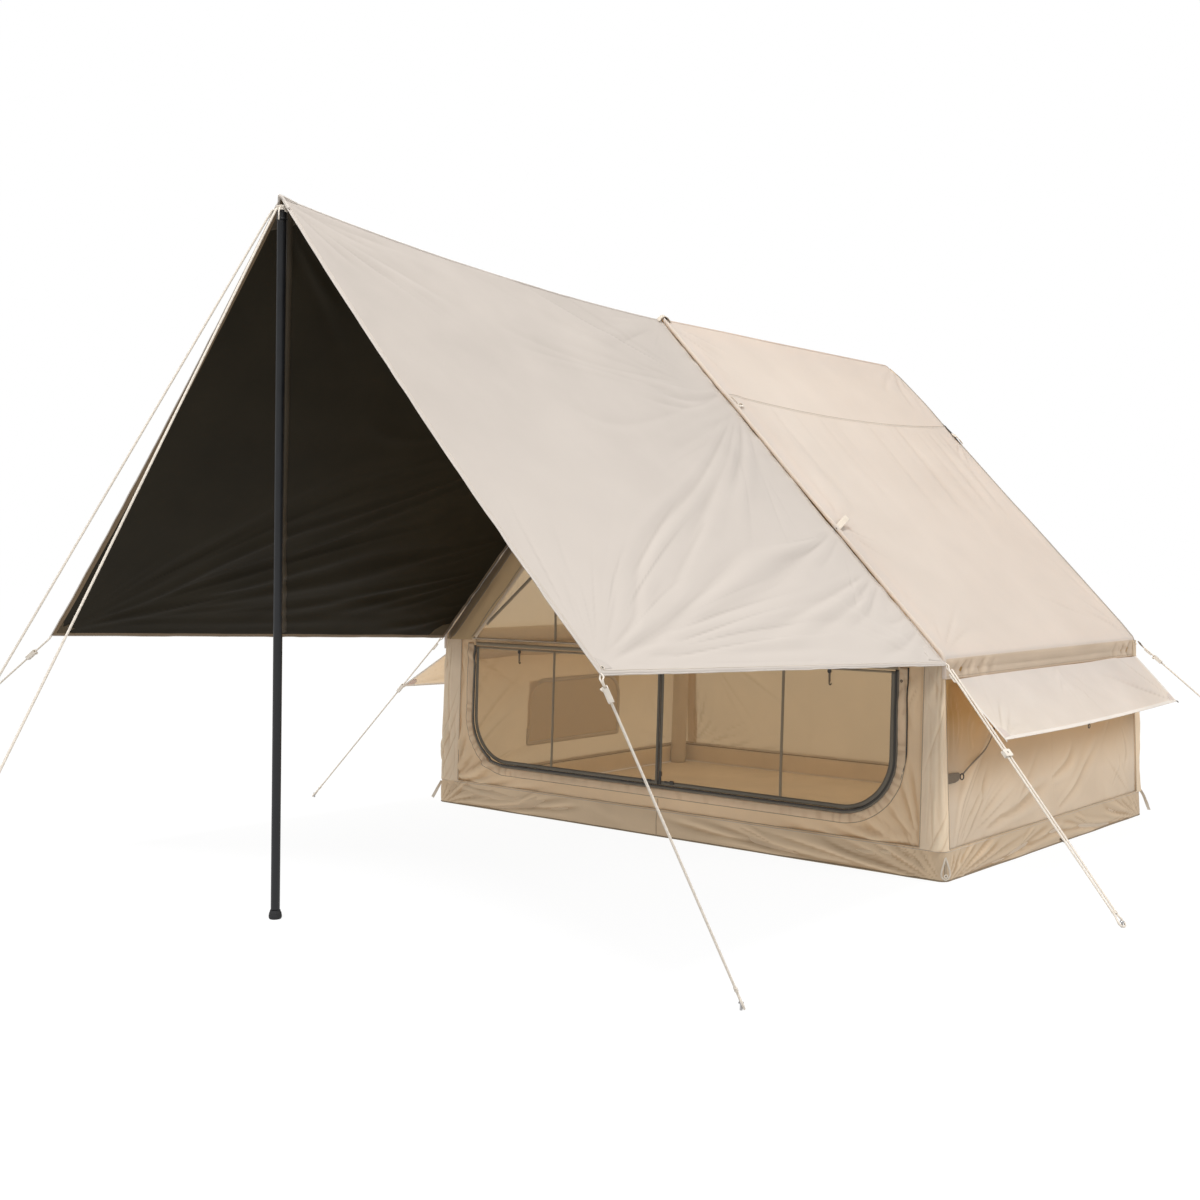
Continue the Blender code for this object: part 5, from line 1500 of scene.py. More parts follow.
def sleeve_relief(lo, hi, seed):
    def f(S, T):
        q = (S - lo) / (hi - lo)
        wide = min(1.0, (hi - lo) / 0.17)
        d = 0.0045 + 0.0080 * wide * np.sin(np.pi * np.clip(q, 0, 1)) ** 0.7
        inside = np.sin(np.pi * np.clip(q, 0, 1))
        W = hi - lo
        table = [([(lo + W * a, b) for a, b in run], wide, strong) for run, wide, strong in (
            (((0.25, 0.14), (0.31, 0.45), (0.22, 0.88)), 0.009, 0.8),
            (((0.62, 0.89), (0.55, 0.60), (0.66, 0.16)), 0.009, 0.9),
            (((0.45, 0.13), (0.41, 0.25), (0.33, 0.44)), 0.008, 1.1),
            (((0.80, 0.13), (0.84, 0.30), (0.78, 0.56)), 0.007, 0.9),
            (((0.15, 0.90), (0.22, 0.78), (0.12, 0.60)), 0.007, 0.8),
            (((0.50, 0.90), (0.44, 0.80), (0.52, 0.68)), 0.007, 0.8),
        )]
        d += creases(S, T, table, 0.55 * wide) * inside
        d += drapes(S, T, 66, 0.040, 0.36, 0.0070, seed) * inside
        d += drapes(S, T, 112, 0.075, 0.30, 0.0050, seed + 1) * inside
        return d

    return f


for n, (mid, name, before, after) in enumerate(
    zip(MIDS, ("rear_right", "rear_left", "front_left", "front_right"), (0.062, 0.125, 0.050, 0.112), (0.125, 0.062, 0.140, 0.034))
):
    lo, hi = mid - before, mid + after
    surf = Ring(sleeve_relief(lo, hi, 500 + 7 * n))
    S = np.linspace(lo, hi, 40)
    T = np.linspace(SKIRT_TOP - 0.006, 0.905, 76)
    SS, TT = np.meshgrid(S, T, indexing="ij")
    sleeve = build(f"corner_sleeve_{name}", surf.at(SS, TT), grid_faces(len(S), len(T)), [SLEEVE, INNER], np.stack([SS.ravel(), TT.ravel()], 1))
    mark_folds(sleeve, surf.relief, SS, TT, 1, 0.0007)
    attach(sleeve, "tent")
    for m, s in enumerate((lo + 0.004, hi - 0.004)):
        run = np.linspace(SKIRT_TOP, 0.90, 60)
        pts = surf.at(np.full((60, 1), s), run[:, None], 0.0008)[:, 0]
        line = pipe(f"corner_sleeve_seam_{name}_{m}", pts, 0.0016, [SEAM], 6)
        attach(line, "tent")


# ------------------------------------------------------------------ gables
def gable_base(end):
    """S is x, T the height."""
    rate = REAR_OUT / (RIDGE_Z - EAVE_Z) if end > 0 else 0.0

    def f(S, T):
        return np.stack([S, end * (EAVE_Y - 0.004) + rate * (T - EAVE_Z) * (1 if end > 0 else 0), T + 0 * S], -1)

    return f


def half_at(z, clear):
    """Half the gable's width at this height, this far inside the roof's outer face."""
    return EAVE_X * (RIDGE_Z - z) / (RIDGE_Z - EAVE_Z) - clear / -DOWN_Z


def triangle_sheet(name, surface, low, clear, mats, rows=70, cols=90, thickness=0.002, inner=None, inner_edge=None):
    """Cloth over a gable. With inner_edge, only the sleeve within that much of the rafters."""
    high = RIDGE_Z - clear / abs(DOWN_X) - 0.004
    objs = []
    T = np.linspace(low, high, rows)
    if inner_edge is None:
        spans = [(-1.0, 1.0)]
    else:
        spans = [(-1.0, None), (None, 1.0)]
    for n, (a, b) in enumerate(spans):
        w = np.linspace(0, 1, cols)
        S = np.empty((cols, rows))
        for j, z in enumerate(T):
            h = max(half_at(z, clear), 0.002)
            if inner_edge is None:
                S[:, j] = -h + 2 * h * w
            else:
                k = max(half_at(z, clear + inner_edge), 0.0)
                S[:, j] = (-h + (h - k) * w) if n == 0 else (k + (h - k) * w)
        TT = np.broadcast_to(T, S.shape)
        points = surface.at(S, TT)
        faces = grid_faces(cols, rows)
        n0 = np.cross(points[1, 0] - points[0, 0], points[0, 1] - points[0, 0])
        want = surface.normal(S[:1, :1], TT[:1, :1])[0, 0]
        if float((n0 * want).sum()) < 0:
            faces = faces[:, ::-1]
        suffix = "" if inner_edge is None else ("_left", "_right")[n]
        obj = build(name + suffix, points, faces, mats, np.stack([S.ravel(), TT.ravel()], 1))
        shell(obj, thickness, inner)
        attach(obj, "tent")
        objs.append(obj)
    return objs


def gable_relief(end):
    def f(S, T):
        d = 0.004 * value_noise(S * 2.4, T * 2.4, 610 + end)
        d += fan(S, T, (0.0, 2.36), 215, 325, 9, 0.9, 0.006, 612 + end)
        d += fan(S, T, (1.40, 0.93), 140, 178, 5, 0.8, 0.006, 614 + end)
        d += fan(S, T, (-1.40, 0.93), 2, 40, 5, 0.8, 0.006, 616 + end)
        return d

    return f


def sleeve_gable_relief(S, T):
    # the cloth of the rafter sleeve is wrapped round the air tube, with soft folds along it
    h = EAVE_X * (RIDGE_Z - T) / (RIDGE_Z - EAVE_Z)
    depth = (h - np.abs(S)) * -DOWN_Z
    d = 0.004 + 0.030 * np.sin(np.pi * np.clip(depth / 0.155, 0, 1)) ** 0.8
    along = np.abs(S) * DOWN_X + (RIDGE_Z - T) * -DOWN_Z
    d += drapes(along, depth, 4, 0.045, 0.50, 0.0065, 630)
    d += drapes(along, depth, 24, 0.060, 0.30, 0.0050, 631)
    return d


gable_flat = Surface(gable_base(-1), None, (0, -1, 0))
net = triangle_sheet("gable_net_front", Surface(gable_base(-1), lambda S, T: -0.004 + 0 * S, (0, -1, 0)), 0.884, 0.010, [MESH], 40, 50, 0)[0]
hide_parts("gable_mesh_front")
# the rafter sleeves' cloth under the awning is darker and warmer: painted shade for the awning's shadow
triangle_sheet("gable_sleeve_front", Surface(gable_base(-1), sleeve_gable_relief, (0, -1, 0)), 0.884, 0.004, [GABLE_SLEEVE_PAINTED_SHADE], 90, 22, 0, inner_edge=0.158)
rear_gable = triangle_sheet("gable_cloth_rear", Surface(gable_base(1), gable_relief(1), (0, 1, 0)), 0.884, 0.006, [WALL], 80, 110, 0)[0]
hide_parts("gable_rear")

for sgn, name in ((-1, "left"), (1, "right")):
    # tape along the sleeve's inner edge, slanting tape, and the lintel at the top of the door wall
    z = np.linspace(0.90, 2.20, 60)
    path = [(sgn * max(half_at(q, 0.158), 0.0), q) for q in z]
    tape = band(f"gable_tape_{name}", gable_flat, path, 0.022, [SLEEVE], lift=0.007, rows=4, crown=0.002)
    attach(tape, "tent")
    sleeve_face = Surface(gable_base(-1), sleeve_gable_relief, (0, -1, 0))
    z = np.linspace(0.90, 2.33, 90)
    path = [(sgn * half_at(q, 0.030), q) for q in z if half_at(q, 0.030) > 0.01]
    # a near-black strip along each rafter: painted shadow under the roof's front overhang
    strip = band(f"gable_edge_{name}", sleeve_face, path, 0.052, [GABLE_EDGE_PAINTED_SHADOW], lift=0.0020, rows=6, crown=0.0015)
    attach(strip, "tent")
    for n, (clear, wide) in enumerate(((0.0585, 0.0026), (0.1440, 0.0022))):
        path = np.array([(sgn * half_at(q, clear), q) for q in z if half_at(q, clear) > 0.01])
        line = pipe(f"gable_line_{name}_{n}", sleeve_face.at(path[:, :1], path[:, 1:], 0.0012)[:, 0], wide, [STRAP if n == 0 else TAPE], 8)
        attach(line, "tent")
    knob = slab(f"pier_button_{name}", arc(0, 0, 0.0085, 0, 345, 23), 0.0060, axes((sgn * 1.412, -1.0475, 0.893), (1, 0, 0), (0, LEAN, 1)), [DARK])
    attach(knob, "tent")
    slant = [(sgn * (1.215 - 0.345 * q), 0.938 + 0.265 * q) for q in np.linspace(0, 1.52, 40)]
    slant = [(x, zz) for x, zz in slant if abs(x) < half_at(zz, 0.17)]
    tape = band(f"gable_slant_tape_{name}", gable_flat, slant, 0.017, [TAPE], lift=0.007, rows=3)
    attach(tape, "tent")

lintel = band("door_lintel", Surface(end_base(-1), lambda S, T: 0.003 * value_noise(S * 9, T * 20, 640), (0, -1, 0)), [(x, 0.893) for x in np.linspace(-1.43, 1.43, 220)], 0.009, [SEAM], lift=0.002, rows=4, crown=0.002)
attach(lintel, "tent")


# ------------------------------------------------------------------ inside: floor, air tubes
def floor_base(S, T):
    return np.stack([S, T, 0.0066 + 0 * S], -1)


def floor_relief(S, T):
    return 0.003 + 0.0022 * value_noise(S * 3, T * 3, 650) + 0.0012 * value_noise(S * 9, T * 7, 651)


floor_cloth = cloth("floor_sheet", Surface(floor_base, floor_relief, (0, 0, 1)), lines(-1.485, 1.485, 0.03), lines(-1.055, 1.055, 0.03), [FLOOR], 0.001)
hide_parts("groundsheet")
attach(floor_cloth, "tent")
bath_pts, bath_nrm = perimeter(0.012, 0.03)
tub = []
for (x, y), (nx, ny) in zip(bath_pts, bath_nrm):
    for z in np.linspace(0.006, 0.118, 7):
        wob = 0.002 * math.sin(9 * x + 7 * y + 30 * z)
        tub.append((x - nx * (LEAN * z + wob), y - ny * (LEAN * z + wob), z))
tub = np.array(tub)
# the four sides need more columns than the corners give
dense = []
cols = tub.reshape(len(bath_pts), 7, 3)
for i in range(len(cols)):
    a, b = cols[i], cols[(i + 1) % len(cols)]
    far = np.linalg.norm(a[0] - b[0])
    n = max(1, int(far / 0.04))
    for k in range(n):
        q = k / n
        c = a * (1 - q) + b * q
        inward = np.array([-(b[0] - a[0])[1], (b[0] - a[0])[0], 0])
        inward = inward / max(np.linalg.norm(inward), 1e-9)
        c = c + inward * (0.004 * value_noise(np.array([i + q * n * 0.35]), np.array([i * 1.0]), 655)[0]) * np.linspace(0, 1, 7)[:, None]
        dense.append(c)
dense = np.array(dense)
tub_obj = build("floor_upstand", dense, grid_faces(len(dense), 7, wrap=True, flip=True), [FLOOR], dense.reshape(-1, 3)[:, :2])
shell(tub_obj, 0.0012)
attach(tub_obj, "tent")
rim = pipe("floor_upstand_hem", dense[:, -1], 0.0026, [TAPE], 6, closed=True)
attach(rim, "tent")

BEAM = woven("air_tube_sleeve", (0.80, 0.680, 0.530), rough=0.8, glow=0.12, glow_colour=(1.0, 0.85, 0.62))


def arch_line(sign):
    plane = HALF_D - 0.105
    wall_in, roof_in = 0.006 + 0.001 + 0.048, 0.006 + 0.002 + 0.048
    rate = REAR_OUT / (RIDGE_Z - EAVE_Z)
    out = np.array([-DOWN_Z, DOWN_X])
    ridge_pt = np.array([0.0, RIDGE_Z]) - out * roof_in
    down = np.array([DOWN_X, DOWN_Z])
    wall_x = HALF_W - wall_in
    u = (wall_x - LEAN * ridge_pt[1] - ridge_pt[0]) / (down[0] + LEAN * down[1])
    knee = ridge_pt + down * u
    top = ridge_pt + down * (-ridge_pt[0] / down[0])
    low = 0.011
    flat = [(-(wall_x - LEAN * low), low), (-knee[0], knee[1]), (0, top[1]), (knee[0], knee[1]), (wall_x - LEAN * low, low)]
    pts = []
    for i, p in enumerate(flat):
        p = np.array(p)
        if i in (0, len(flat) - 1):
            pts.append(p)
            continue
        a, b = np.array(flat[i - 1]) - p, np.array(flat[i + 1]) - p
        a, b = a / np.linalg.norm(a), b / np.linalg.norm(b)
        half = math.acos(float(np.dot(a, b))) / 2
        reach = 0.11 / math.tan(half)
        centre = p + (a + b) / np.linalg.norm(a + b) * (0.11 / math.sin(half))
        first, last = p + a * reach, p + b * reach
        for k in range(13):
            ray = (first - centre) * (1 - k / 12) + (last - centre) * k / 12
            pts.append(centre + ray / np.linalg.norm(ray) * 0.11)
    return np.array([(x, sign * plane + (rate * max(0.0, z - 0.9) if sign > 0 else 0.0), z) for x, z in pts]), knee, top


for sign, name in ((-1, "front"), (1, "rear")):
    line, knee, top = arch_line(sign)
    path = resample(line, 0.02)
    tube = pipe(f"air_tube_{name}_arch", path, 0.0475, [BEAM], 28, lambda a, r: 1 - 0.02 * np.abs(np.sin(r * 2 * math.pi / 0.33)) ** 8 + 0.004 * np.sin(7 * a + r * 40))
    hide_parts(f"{name}_air_arch")
    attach(tube, "tent")
END = HALF_D - 0.105 - 0.048 - 0.004
for name, x, z, node_name in (("ridge", 0.0, top[1], "ridge_air_beam"), ("eave_left", -knee[0], knee[1], "eave_air_beam_left"), ("eave_right", knee[0], knee[1], "eave_air_beam_right")):
    far_y = END + (REAR_OUT / (RIDGE_Z - EAVE_Z) * (z - 0.9) if name == "ridge" else 0)
    path = resample([(x, -END, z), (x, far_y, z)], 0.02)
    tube = pipe(f"air_tube_{name}", path, 0.0435, [BEAM], 26, lambda a, r: 1 + 0.006 * np.sin(5 * a + r * 30))
    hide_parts(node_name)
    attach(tube, "tent")

# rolled roof lining below each eave tube
for sgn, name in ((-1, "left"), (1, "right")):
    ys = np.linspace(-0.93, 0.93, 90)
    pts = np.stack([np.full(90, sgn * 1.402), ys, 0.800 + 0.004 * np.sin(ys * 9)], 1)
    roll = pipe(f"lining_roll_{name}", pts, 0.030 + 0.003 * value_noise(ys * 6, ys * 0, 660), [INNER], 18, lambda a, r: 1 + 0.05 * np.sin(3 * a + r * 6))
    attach(roll, "tent")


# ------------------------------------------------------------------ door leaves
leaf_surface = Surface(end_base(-1), lambda S, T: -0.0018 + 0.0016 * value_noise(S * 2.4, T * 3, 700) * smoothstep(T, 0.27, 0.36), (0, -1, 0))
for sgn, name in ((-1, "left"), (1, "right")):
    outer, low, high, r = DOOR_HALF - 0.004, DOOR_LOW + 0.004, 0.857, DOOR_R - 0.004
    cols, rows = 60, 30
    xs = np.linspace(0.002, outer, cols)
    S = np.empty((cols, rows))
    T = np.empty((cols, rows))
    for i, x in enumerate(xs):
        d = x - (outer - r)
        bottom = low if d <= 0 else low + r - math.sqrt(max(r * r - d * d, 0.0))
        S[i] = sgn * x
        T[i] = np.linspace(bottom, high, rows)
    points = leaf_surface.at(S, T)
    faces = grid_faces(cols, rows, flip=(sgn > 0))
    n0 = np.cross(points[1, 0] - points[0, 0], points[0, 1] - points[0, 0])
    if n0[1] > 0:
        faces = grid_faces(cols, rows, flip=True)
    else:
        faces = grid_faces(cols, rows)
    leaf = build(f"door_net_{name}", points, faces, [MESH], np.stack([S.ravel(), T.ravel()], 1))
    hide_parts(f"door_mesh_{name}")
    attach(leaf, f"door_{name}")
    # zip tape sewn round the leaf: down the outer side, along the bottom, up the middle
    path = [(sgn * (outer - 0.0098), z) for z in np.linspace(high - 0.008, low + r, 26)]
    path += [(sgn * x, z) for x, z in arc(outer - r, low + r, r - 0.0098, 360, 270, 24)[1:]]
    path += [(sgn * x, low + 0.0098) for x in np.linspace(outer - r, 0.0, 60)[1:]]
    tape = band(f"leaf_zip_tape_{name}", leaf_surface, path, 0.0194, [ZIP_TAPE], lift=0.0020, rows=3)
    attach(tape, f"door_{name}")
    path = [(sgn * 0.0125, z) for z in np.linspace(low + 0.001, high - 0.009, 50)]
    tape = band(f"leaf_middle_tape_{name}", leaf_surface, path, 0.012, [ZIP_TAPE], lift=0.0028, rows=4, crown=0.0006)
    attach(tape, f"door_{name}")
    path = [(sgn * 0.0035, z) for z in np.linspace(low + 0.001, high - 0.012, 50)]
    teeth = band(f"leaf_middle_coil_{name}", leaf_surface, path, 0.0055, [COIL], lift=0.0036, rows=3, crown=0.0012)
    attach(teeth, f"door_{name}")
    path = [(sgn * 0.69, z) for z in np.linspace(low + 0.014, high - 0.009, 40)]
    tape = band(f"leaf_tape_{name}", leaf_surface, path, 0.014, [TAPE], lift=0.0015, rows=3)
    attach(tape, f"door_{name}")
    # the binding along the leaf's upper edge
    path = [(sgn * x, 0.8450) for x in np.linspace(0.004, outer - 0.004, 120)]
    binding = band(f"leaf_top_binding_{name}", leaf_surface, path, 0.010, [TAPE], lift=0.0008, rows=3)
    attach(binding, f"door_{name}")
    path = [(sgn * 0.69, z) for z in np.linspace(0.892, min(1.9, RIDGE_Z - 0.69 / DOWN_X * -DOWN_Z - 0.19), 40)]
    tape = band(f"gable_upright_tape_{name}", gable_flat, path, 0.014, [TAPE], lift=-0.001, rows=3)
    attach(tape, "tent")


# ------------------------------------------------------------------ canopy flaps
def flap_base(side):
    def f(S, T):
        u, v = S / 2.0, T / 0.345
        hinge = np.stack([1.487 + 0 * u, -0.98 + 2.0 * u, 0.826 + 0 * u], -1)
        outer = np.array([1.770, -1.100, 0.610]) + (np.array([1.700, 1.000, 0.608]) - np.array([1.770, -1.100, 0.610])) * u[..., None]
        p = hinge + (outer - hinge) * v[..., None]
        p[..., 2] -= 0.012 * np.sin(np.pi * np.clip(u, 0, 1)) * v
        p[..., 0] *= side
        return p

    return f


def flap_relief(side):
    seed = 720 if side > 0 else 750

    def f(S, T):
        d = fan(S, T, (0.0, 0.345), -62, -6, 4, 0.75, 0.0060, seed)
        d += fan(S, T, (2.0, 0.345), 186, 244, 4, 0.75, 0.0060, seed + 1)
        d += fan(S, T, (1.0, -0.01), 30, 150, 6, 0.42, 0.0045, seed + 2)
        d += 0.0030 * value_noise(S * 3.0, T * 4.0, seed + 3)
        d += 0.006 * np.sin(np.pi * np.clip(T / 0.345, 0, 1)) * np.sin(np.pi * np.clip(S / 2.0, 0, 1))
        hem = np.minimum.reduce([S, 2.0 - S, 0.345 - T])
        d += 0.0010 * (1 - smoothstep(hem, 0.014, 0.017))
        return d

    return f


for side, name in ((-1, "left"), (1, "right")):
    surface = Surface(flap_base(side), flap_relief(side), (side, 0, 0.8))
    S = lines(0.0, 2.0, 0.018, (0.016, 1.984))
    T = lines(0.0, 0.345, 0.016, (0.329,))

    def flap_pick(s, t):
        hem = np.minimum.reduce([s, 2.0 - s, 0.345 - t])
        return (hem < 0.0155) * 2

    obj = cloth(f"canopy_flap_{name}", surface, S, T, [FLAP, INNER, FLAP_HEM], 0, pick=flap_pick)
    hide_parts(f"side_flap_{name}")
    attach(obj, f"side_flap_{name}")
    for n, (c, a, b) in enumerate((((0.012, 0.333), -88, -2), ((1.988, 0.333), 182, 268))):
        corner_patch(f"canopy_patch_{name}_{n}", surface, c, a, b, 0.055, 0.0006, [FLAP], body=f"side_flap_{name}")
    edge = surface.at(np.linspace(0, 2.0, 90)[:, None], np.full((90, 1), 0.345))[:, 0]
    front_edge = surface.at(np.zeros((30, 1)), np.linspace(0.0, 0.345, 30)[:, None])[:, 0]
    cord = pipe(f"canopy_edge_{name}", np.vstack([front_edge[:-1], edge]), 0.0017, [FLAP_HEM], 8)
    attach(cord, f"side_flap_{name}")
    # the tie tabs at its outer corners, and the small ring under the middle of its hem
    for n, (s, ds) in enumerate(((0.0, -0.003), (2.0, 0.006))):
        p = surface.at(np.array([[s]]), np.array([[0.345]]))[0, 0]
        q = surface.at(np.array([[s - 18 * ds * (1 if n else -0.6)]]), np.array([[0.345]]))[0, 0]
        tip = p + np.array([side * 0.007, ds, -0.006])
        line = smooth_curve([p + (q - p) * 0.08, p + [side * 0.002, 0, 0.001], tip], 8)
        tab = pipe(f"canopy_tip_{name}_{n}", line, np.linspace(0.0022, 0.0030, len(line)), [STRAP if n else FLAP_HEM], 8)
        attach(tab, f"side_flap_{name}")
    p = surface.at(np.array([[0.854]]), np.array([[0.345]]))[0, 0]
    a = np.linspace(0, 2 * math.pi, 26, endpoint=False)
    ring = np.stack([p[0] + 0 * a, p[1] + 0.0095 * np.cos(a), p[2] - 0.0105 + 0.0095 * np.sin(a)], 1)
    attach(pipe(f"canopy_ring_{name}", ring, 0.0021, [DARK], 8, closed=True), f"side_flap_{name}")

# ------------------------------------------------------------------ pole
axis = (POLE_TOP - POLE_FOOT).normalized()
stand = Matrix.Translation(POLE_FOOT) @ Vector((0, 0, 1)).rotation_difference(axis).to_matrix().to_4x4()
LENGTH = (POLE_TOP - POLE_FOOT).length
pole = turned("awning_pole", [(0.0, 0.034), (0.0148, 0.034), (0.0165, 0.0355), *[(0.0165, z) for z in np.linspace(0.05, LENGTH - 0.06, 24)], (0.0165, LENGTH - 0.048), (0.0155, LENGTH - 0.0468), (0.0, LENGTH - 0.0468)], [BLACK], stand, 48)
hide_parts("pole_tube")
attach(pole, "tent")
cap = turned(
    "awning_pole_cap",
    [(0.0, LENGTH - 0.0462), (0.0180, LENGTH - 0.0462), (0.0187, LENGTH - 0.0452), (0.0187, LENGTH - 0.0415), (0.0178, LENGTH - 0.040), (0.0172, LENGTH - 0.0385), (0.0174, LENGTH - 0.014), (0.0150, LENGTH - 0.006), (0.0095, LENGTH - 0.0012), (0.0, LENGTH)],
    [BLACK],
    stand,
    48,
)
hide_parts("pole_cap")
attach(cap, "tent")
foot = turned(
    "awning_pole_foot",
    [(0.0, 0.0004), (0.0205, 0.0004), (0.0218, 0.0016), (0.0236, 0.006), (0.0238, 0.012), (0.0232, 0.0165), (0.0222, 0.0185), (0.0226, 0.0205), (0.0218, 0.0235), (0.0200, 0.027), (0.0188, 0.0305), (0.0186, 0.033), (0.0, 0.033)],
    [RUBBER],
    Matrix.Translation(POLE_FOOT + Vector((0.0006, 0, 0))),
    48,
)
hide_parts("pole_foot")
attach(foot, "tent")

# ------------------------------------------------------------------ ties, loops and straps
def ribbon(name, points, width, mats, body, thick=0.0022, across=(1, 0, 0), levels=1):
    """A flat strap along points; across is its width direction at the start."""
    line = resample(smooth_curve(points, 10), 0.006)
    tangent = np.gradient(line, axis=0)
    tangent /= np.linalg.norm(tangent, axis=1, keepdims=True)
    wide = np.asarray(across, float)[None] - tangent * (tangent @ np.asarray(across, float))[:, None]
    wide /= np.maximum(np.linalg.norm(wide, axis=1, keepdims=True), 1e-9)
    steps = np.linspace(-0.5, 0.5, 5)
    rows = line[:, None] + wide[:, None] * (steps * width)[None, :, None]
    run = np.concatenate([[0], np.cumsum(np.linalg.norm(np.diff(line, axis=0), axis=1))])
    uv = np.stack([np.repeat(run, 5), np.tile(steps * width, len(line))], 1)
    obj = build(name, rows, grid_faces(len(line), 5), mats, uv)
    mod = obj.modifiers.new("thickness", "SOLIDIFY")
    mod.thickness = thick
    mod.offset = 0.0
    soft = obj.modifiers.new("edges", "BEVEL")
    soft.width = thick * 0.3
    soft.segments = 2
    soft.limit_method = "ANGLE"
    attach(obj, body)
    return obj


for side, name in ((-1, "left"), (1, "right")):
    x = side * 0.93
    top = -1.0400
    strap = ribbon(f"door_tie_strap_{name}", [(x, top, 0.8400), (x, top - 0.002, 0.829), (x, top - 0.0035, 0.812), (x + 0.001, top - 0.004, 0.788)], 0.010, [STRAP], f"door_tie_{name}", 0.0020)
    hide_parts(f"door_tie_{name}")
    button = slab(f"door_tie_button_{name}", arc(0, 0, 0.0095, 0, 345, 23), 0.0050, axes((x, top - 0.0040, 0.8335), (1, 0, 0), (0, 0, 1)), [DARK])
    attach(button, f"door_tie_{name}")
    hook = smooth_curve([(x, top - 0.004, 0.790), (x, top - 0.0055, 0.780), (x + 0.004, top - 0.006, 0.7745), (x + 0.009, top - 0.006, 0.7765), (x + 0.0105, top - 0.006, 0.783)], 8)
    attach(pipe(f"door_tie_hook_{name}", hook, 0.0024, [DARK], 8), f"door_tie_{name}")

# the webbing anchor on the right-hand wall: a ribbed patch, its ring, and the strap that runs up behind the flap
right_face = walls[1]


def on_wall(y, z, lift=0.0):
    return right_face.at(np.array([[float(y)]]), np.array([[float(z)]]), lift)[0, 0]


cols = []
for k, y in enumerate(np.linspace(-1.037, -0.926, 34)):
    low = np.interp(y, [-1.037, -0.975, -0.945, -0.926], [0.398, 0.399, 0.405, 0.416])
    high = np.interp(y, [-1.037, -0.985, -0.945, -0.926], [0.441, 0.440, 0.437, 0.429])
    cols.append([on_wall(y, z, 0.0065 + 0.0014 * (k % 2)) for z in np.linspace(low, high, 9)])
patch = build("wall_anchor_patch", np.array(cols), grid_faces(34, 9), [STRAP], np.stack([np.repeat(np.linspace(0, 0.111, 34), 9), np.tile(np.linspace(0, 0.05, 9), 34)], 1))
mod = patch.modifiers.new("thickness", "SOLIDIFY")
mod.thickness = 0.0030
mod.offset = -1.0
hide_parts("wall_anchor_right")
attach(patch, "tent")
c = on_wall(-0.921, 0.418, 0.0110)
a = np.linspace(0, 2 * math.pi, 26, endpoint=False)
ring = np.stack([c[0] + 0.003 * np.cos(a), c[1] + 0.0095 * np.cos(a), c[2] + 0.0125 * np.sin(a)], 1)
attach(pipe("wall_anchor_ring", ring, 0.0026, [DARK], 8, closed=True), "tent")
line = [on_wall(-0.917, 0.426, 0.011), on_wall(-0.85, 0.462, 0.012), on_wall(-0.74, 0.516, 0.013), on_wall(-0.629, 0.573, 0.013), on_wall(-0.60, 0.590, 0.009)]
ribbon("wall_anchor_strap", line, 0.0075, [STRAP], "tent", 0.0022, across=(0, 0, 1))
c = on_wall(-0.60, 0.590, 0.0075)
keeper = slab("wall_anchor_keeper", [(-0.010, -0.006), (0.010, -0.006), (0.010, 0.006), (-0.010, 0.006)], 0.0040, axes(c, (0, 1, 0.5), (0, -0.5, 1)), [STRAP])
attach(keeper, "tent")

# loops at the foot of the corners and at the middle of the right-hand side
foot = np.array([1.5035, -1.0735, 0.0])
out2, tan2 = np.array([1.0, -1.0, 0.0]) / math.sqrt(2), np.array([1.0, 1.0, 0.0]) / math.sqrt(2)


def drop_at(side_way, z, off=0.006):
    return foot + out2 * off + tan2 * side_way + [0, 0, z]


drop = [drop_at(0.0, 0.106, 0.002), drop_at(0.0080, 0.080), drop_at(0.0165, 0.050), drop_at(0.0160, 0.028), drop_at(0.0, 0.015), drop_at(-0.0160, 0.028), drop_at(-0.0165, 0.050), drop_at(-0.0080, 0.080), drop_at(0.0, 0.106, 0.002)]
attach(pipe("corner_loop_front_right", smooth_curve(drop, 7)[:-1], 0.0040, [WEBBING], 8, closed=True), "tent")
inner_drop = np.array([drop_at(0.0, z, w) for z, w in ((0.090, 0.0020), (0.066, 0.0030), (0.044, 0.0030), (0.026, 0.0030))])
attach(pipe("corner_loop_gap_front_right", resample(smooth_curve(inner_drop, 8), 0.003), 0.0055, [SEAM], 8), "tent")
ring = [drop_at(0.0062 * math.cos(q), 0.030 + 0.0062 * math.sin(q), 0.0095) for q in np.linspace(0, 2 * math.pi, 22, endpoint=False)]
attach(pipe("corner_loop_ring_front_right", np.array(ring), 0.0022, [CREAM], 8, closed=True), "tent")
ribbon("corner_strap_rear_right", [(1.500, 1.060, 0.132), (1.509, 1.085, 0.100), (1.512, 1.120, 0.055), (1.510, 1.158, 0.020), (1.505, 1.172, 0.014)], 0.016, [WEBBING], "tent", 0.0026, across=(1, 0, 0))
ribbon("corner_strap_rear_right_back", [(1.504, 1.172, 0.018), (1.507, 1.150, 0.044), (1.506, 1.112, 0.084), (1.503, 1.078, 0.118)], 0.012, [WEBBING], "tent", 0.0022, across=(1, 0, 0))
ribbon("corner_strap_front_left", [(-1.498, -1.058, 0.112), (-1.516, -1.064, 0.080), (-1.540, -1.068, 0.042), (-1.556, -1.070, 0.018)], 0.016, [WEBBING], "tent", 0.0030, across=(0.45, 0.0, 0.9))
ribbon("corner_strap_rear_left", [(-1.498, 1.062, 0.110), (-1.510, 1.084, 0.078), (-1.520, 1.110, 0.040), (-1.524, 1.128, 0.016)], 0.016, [WEBBING], "tent", 0.0026, across=(1, 1, 0))
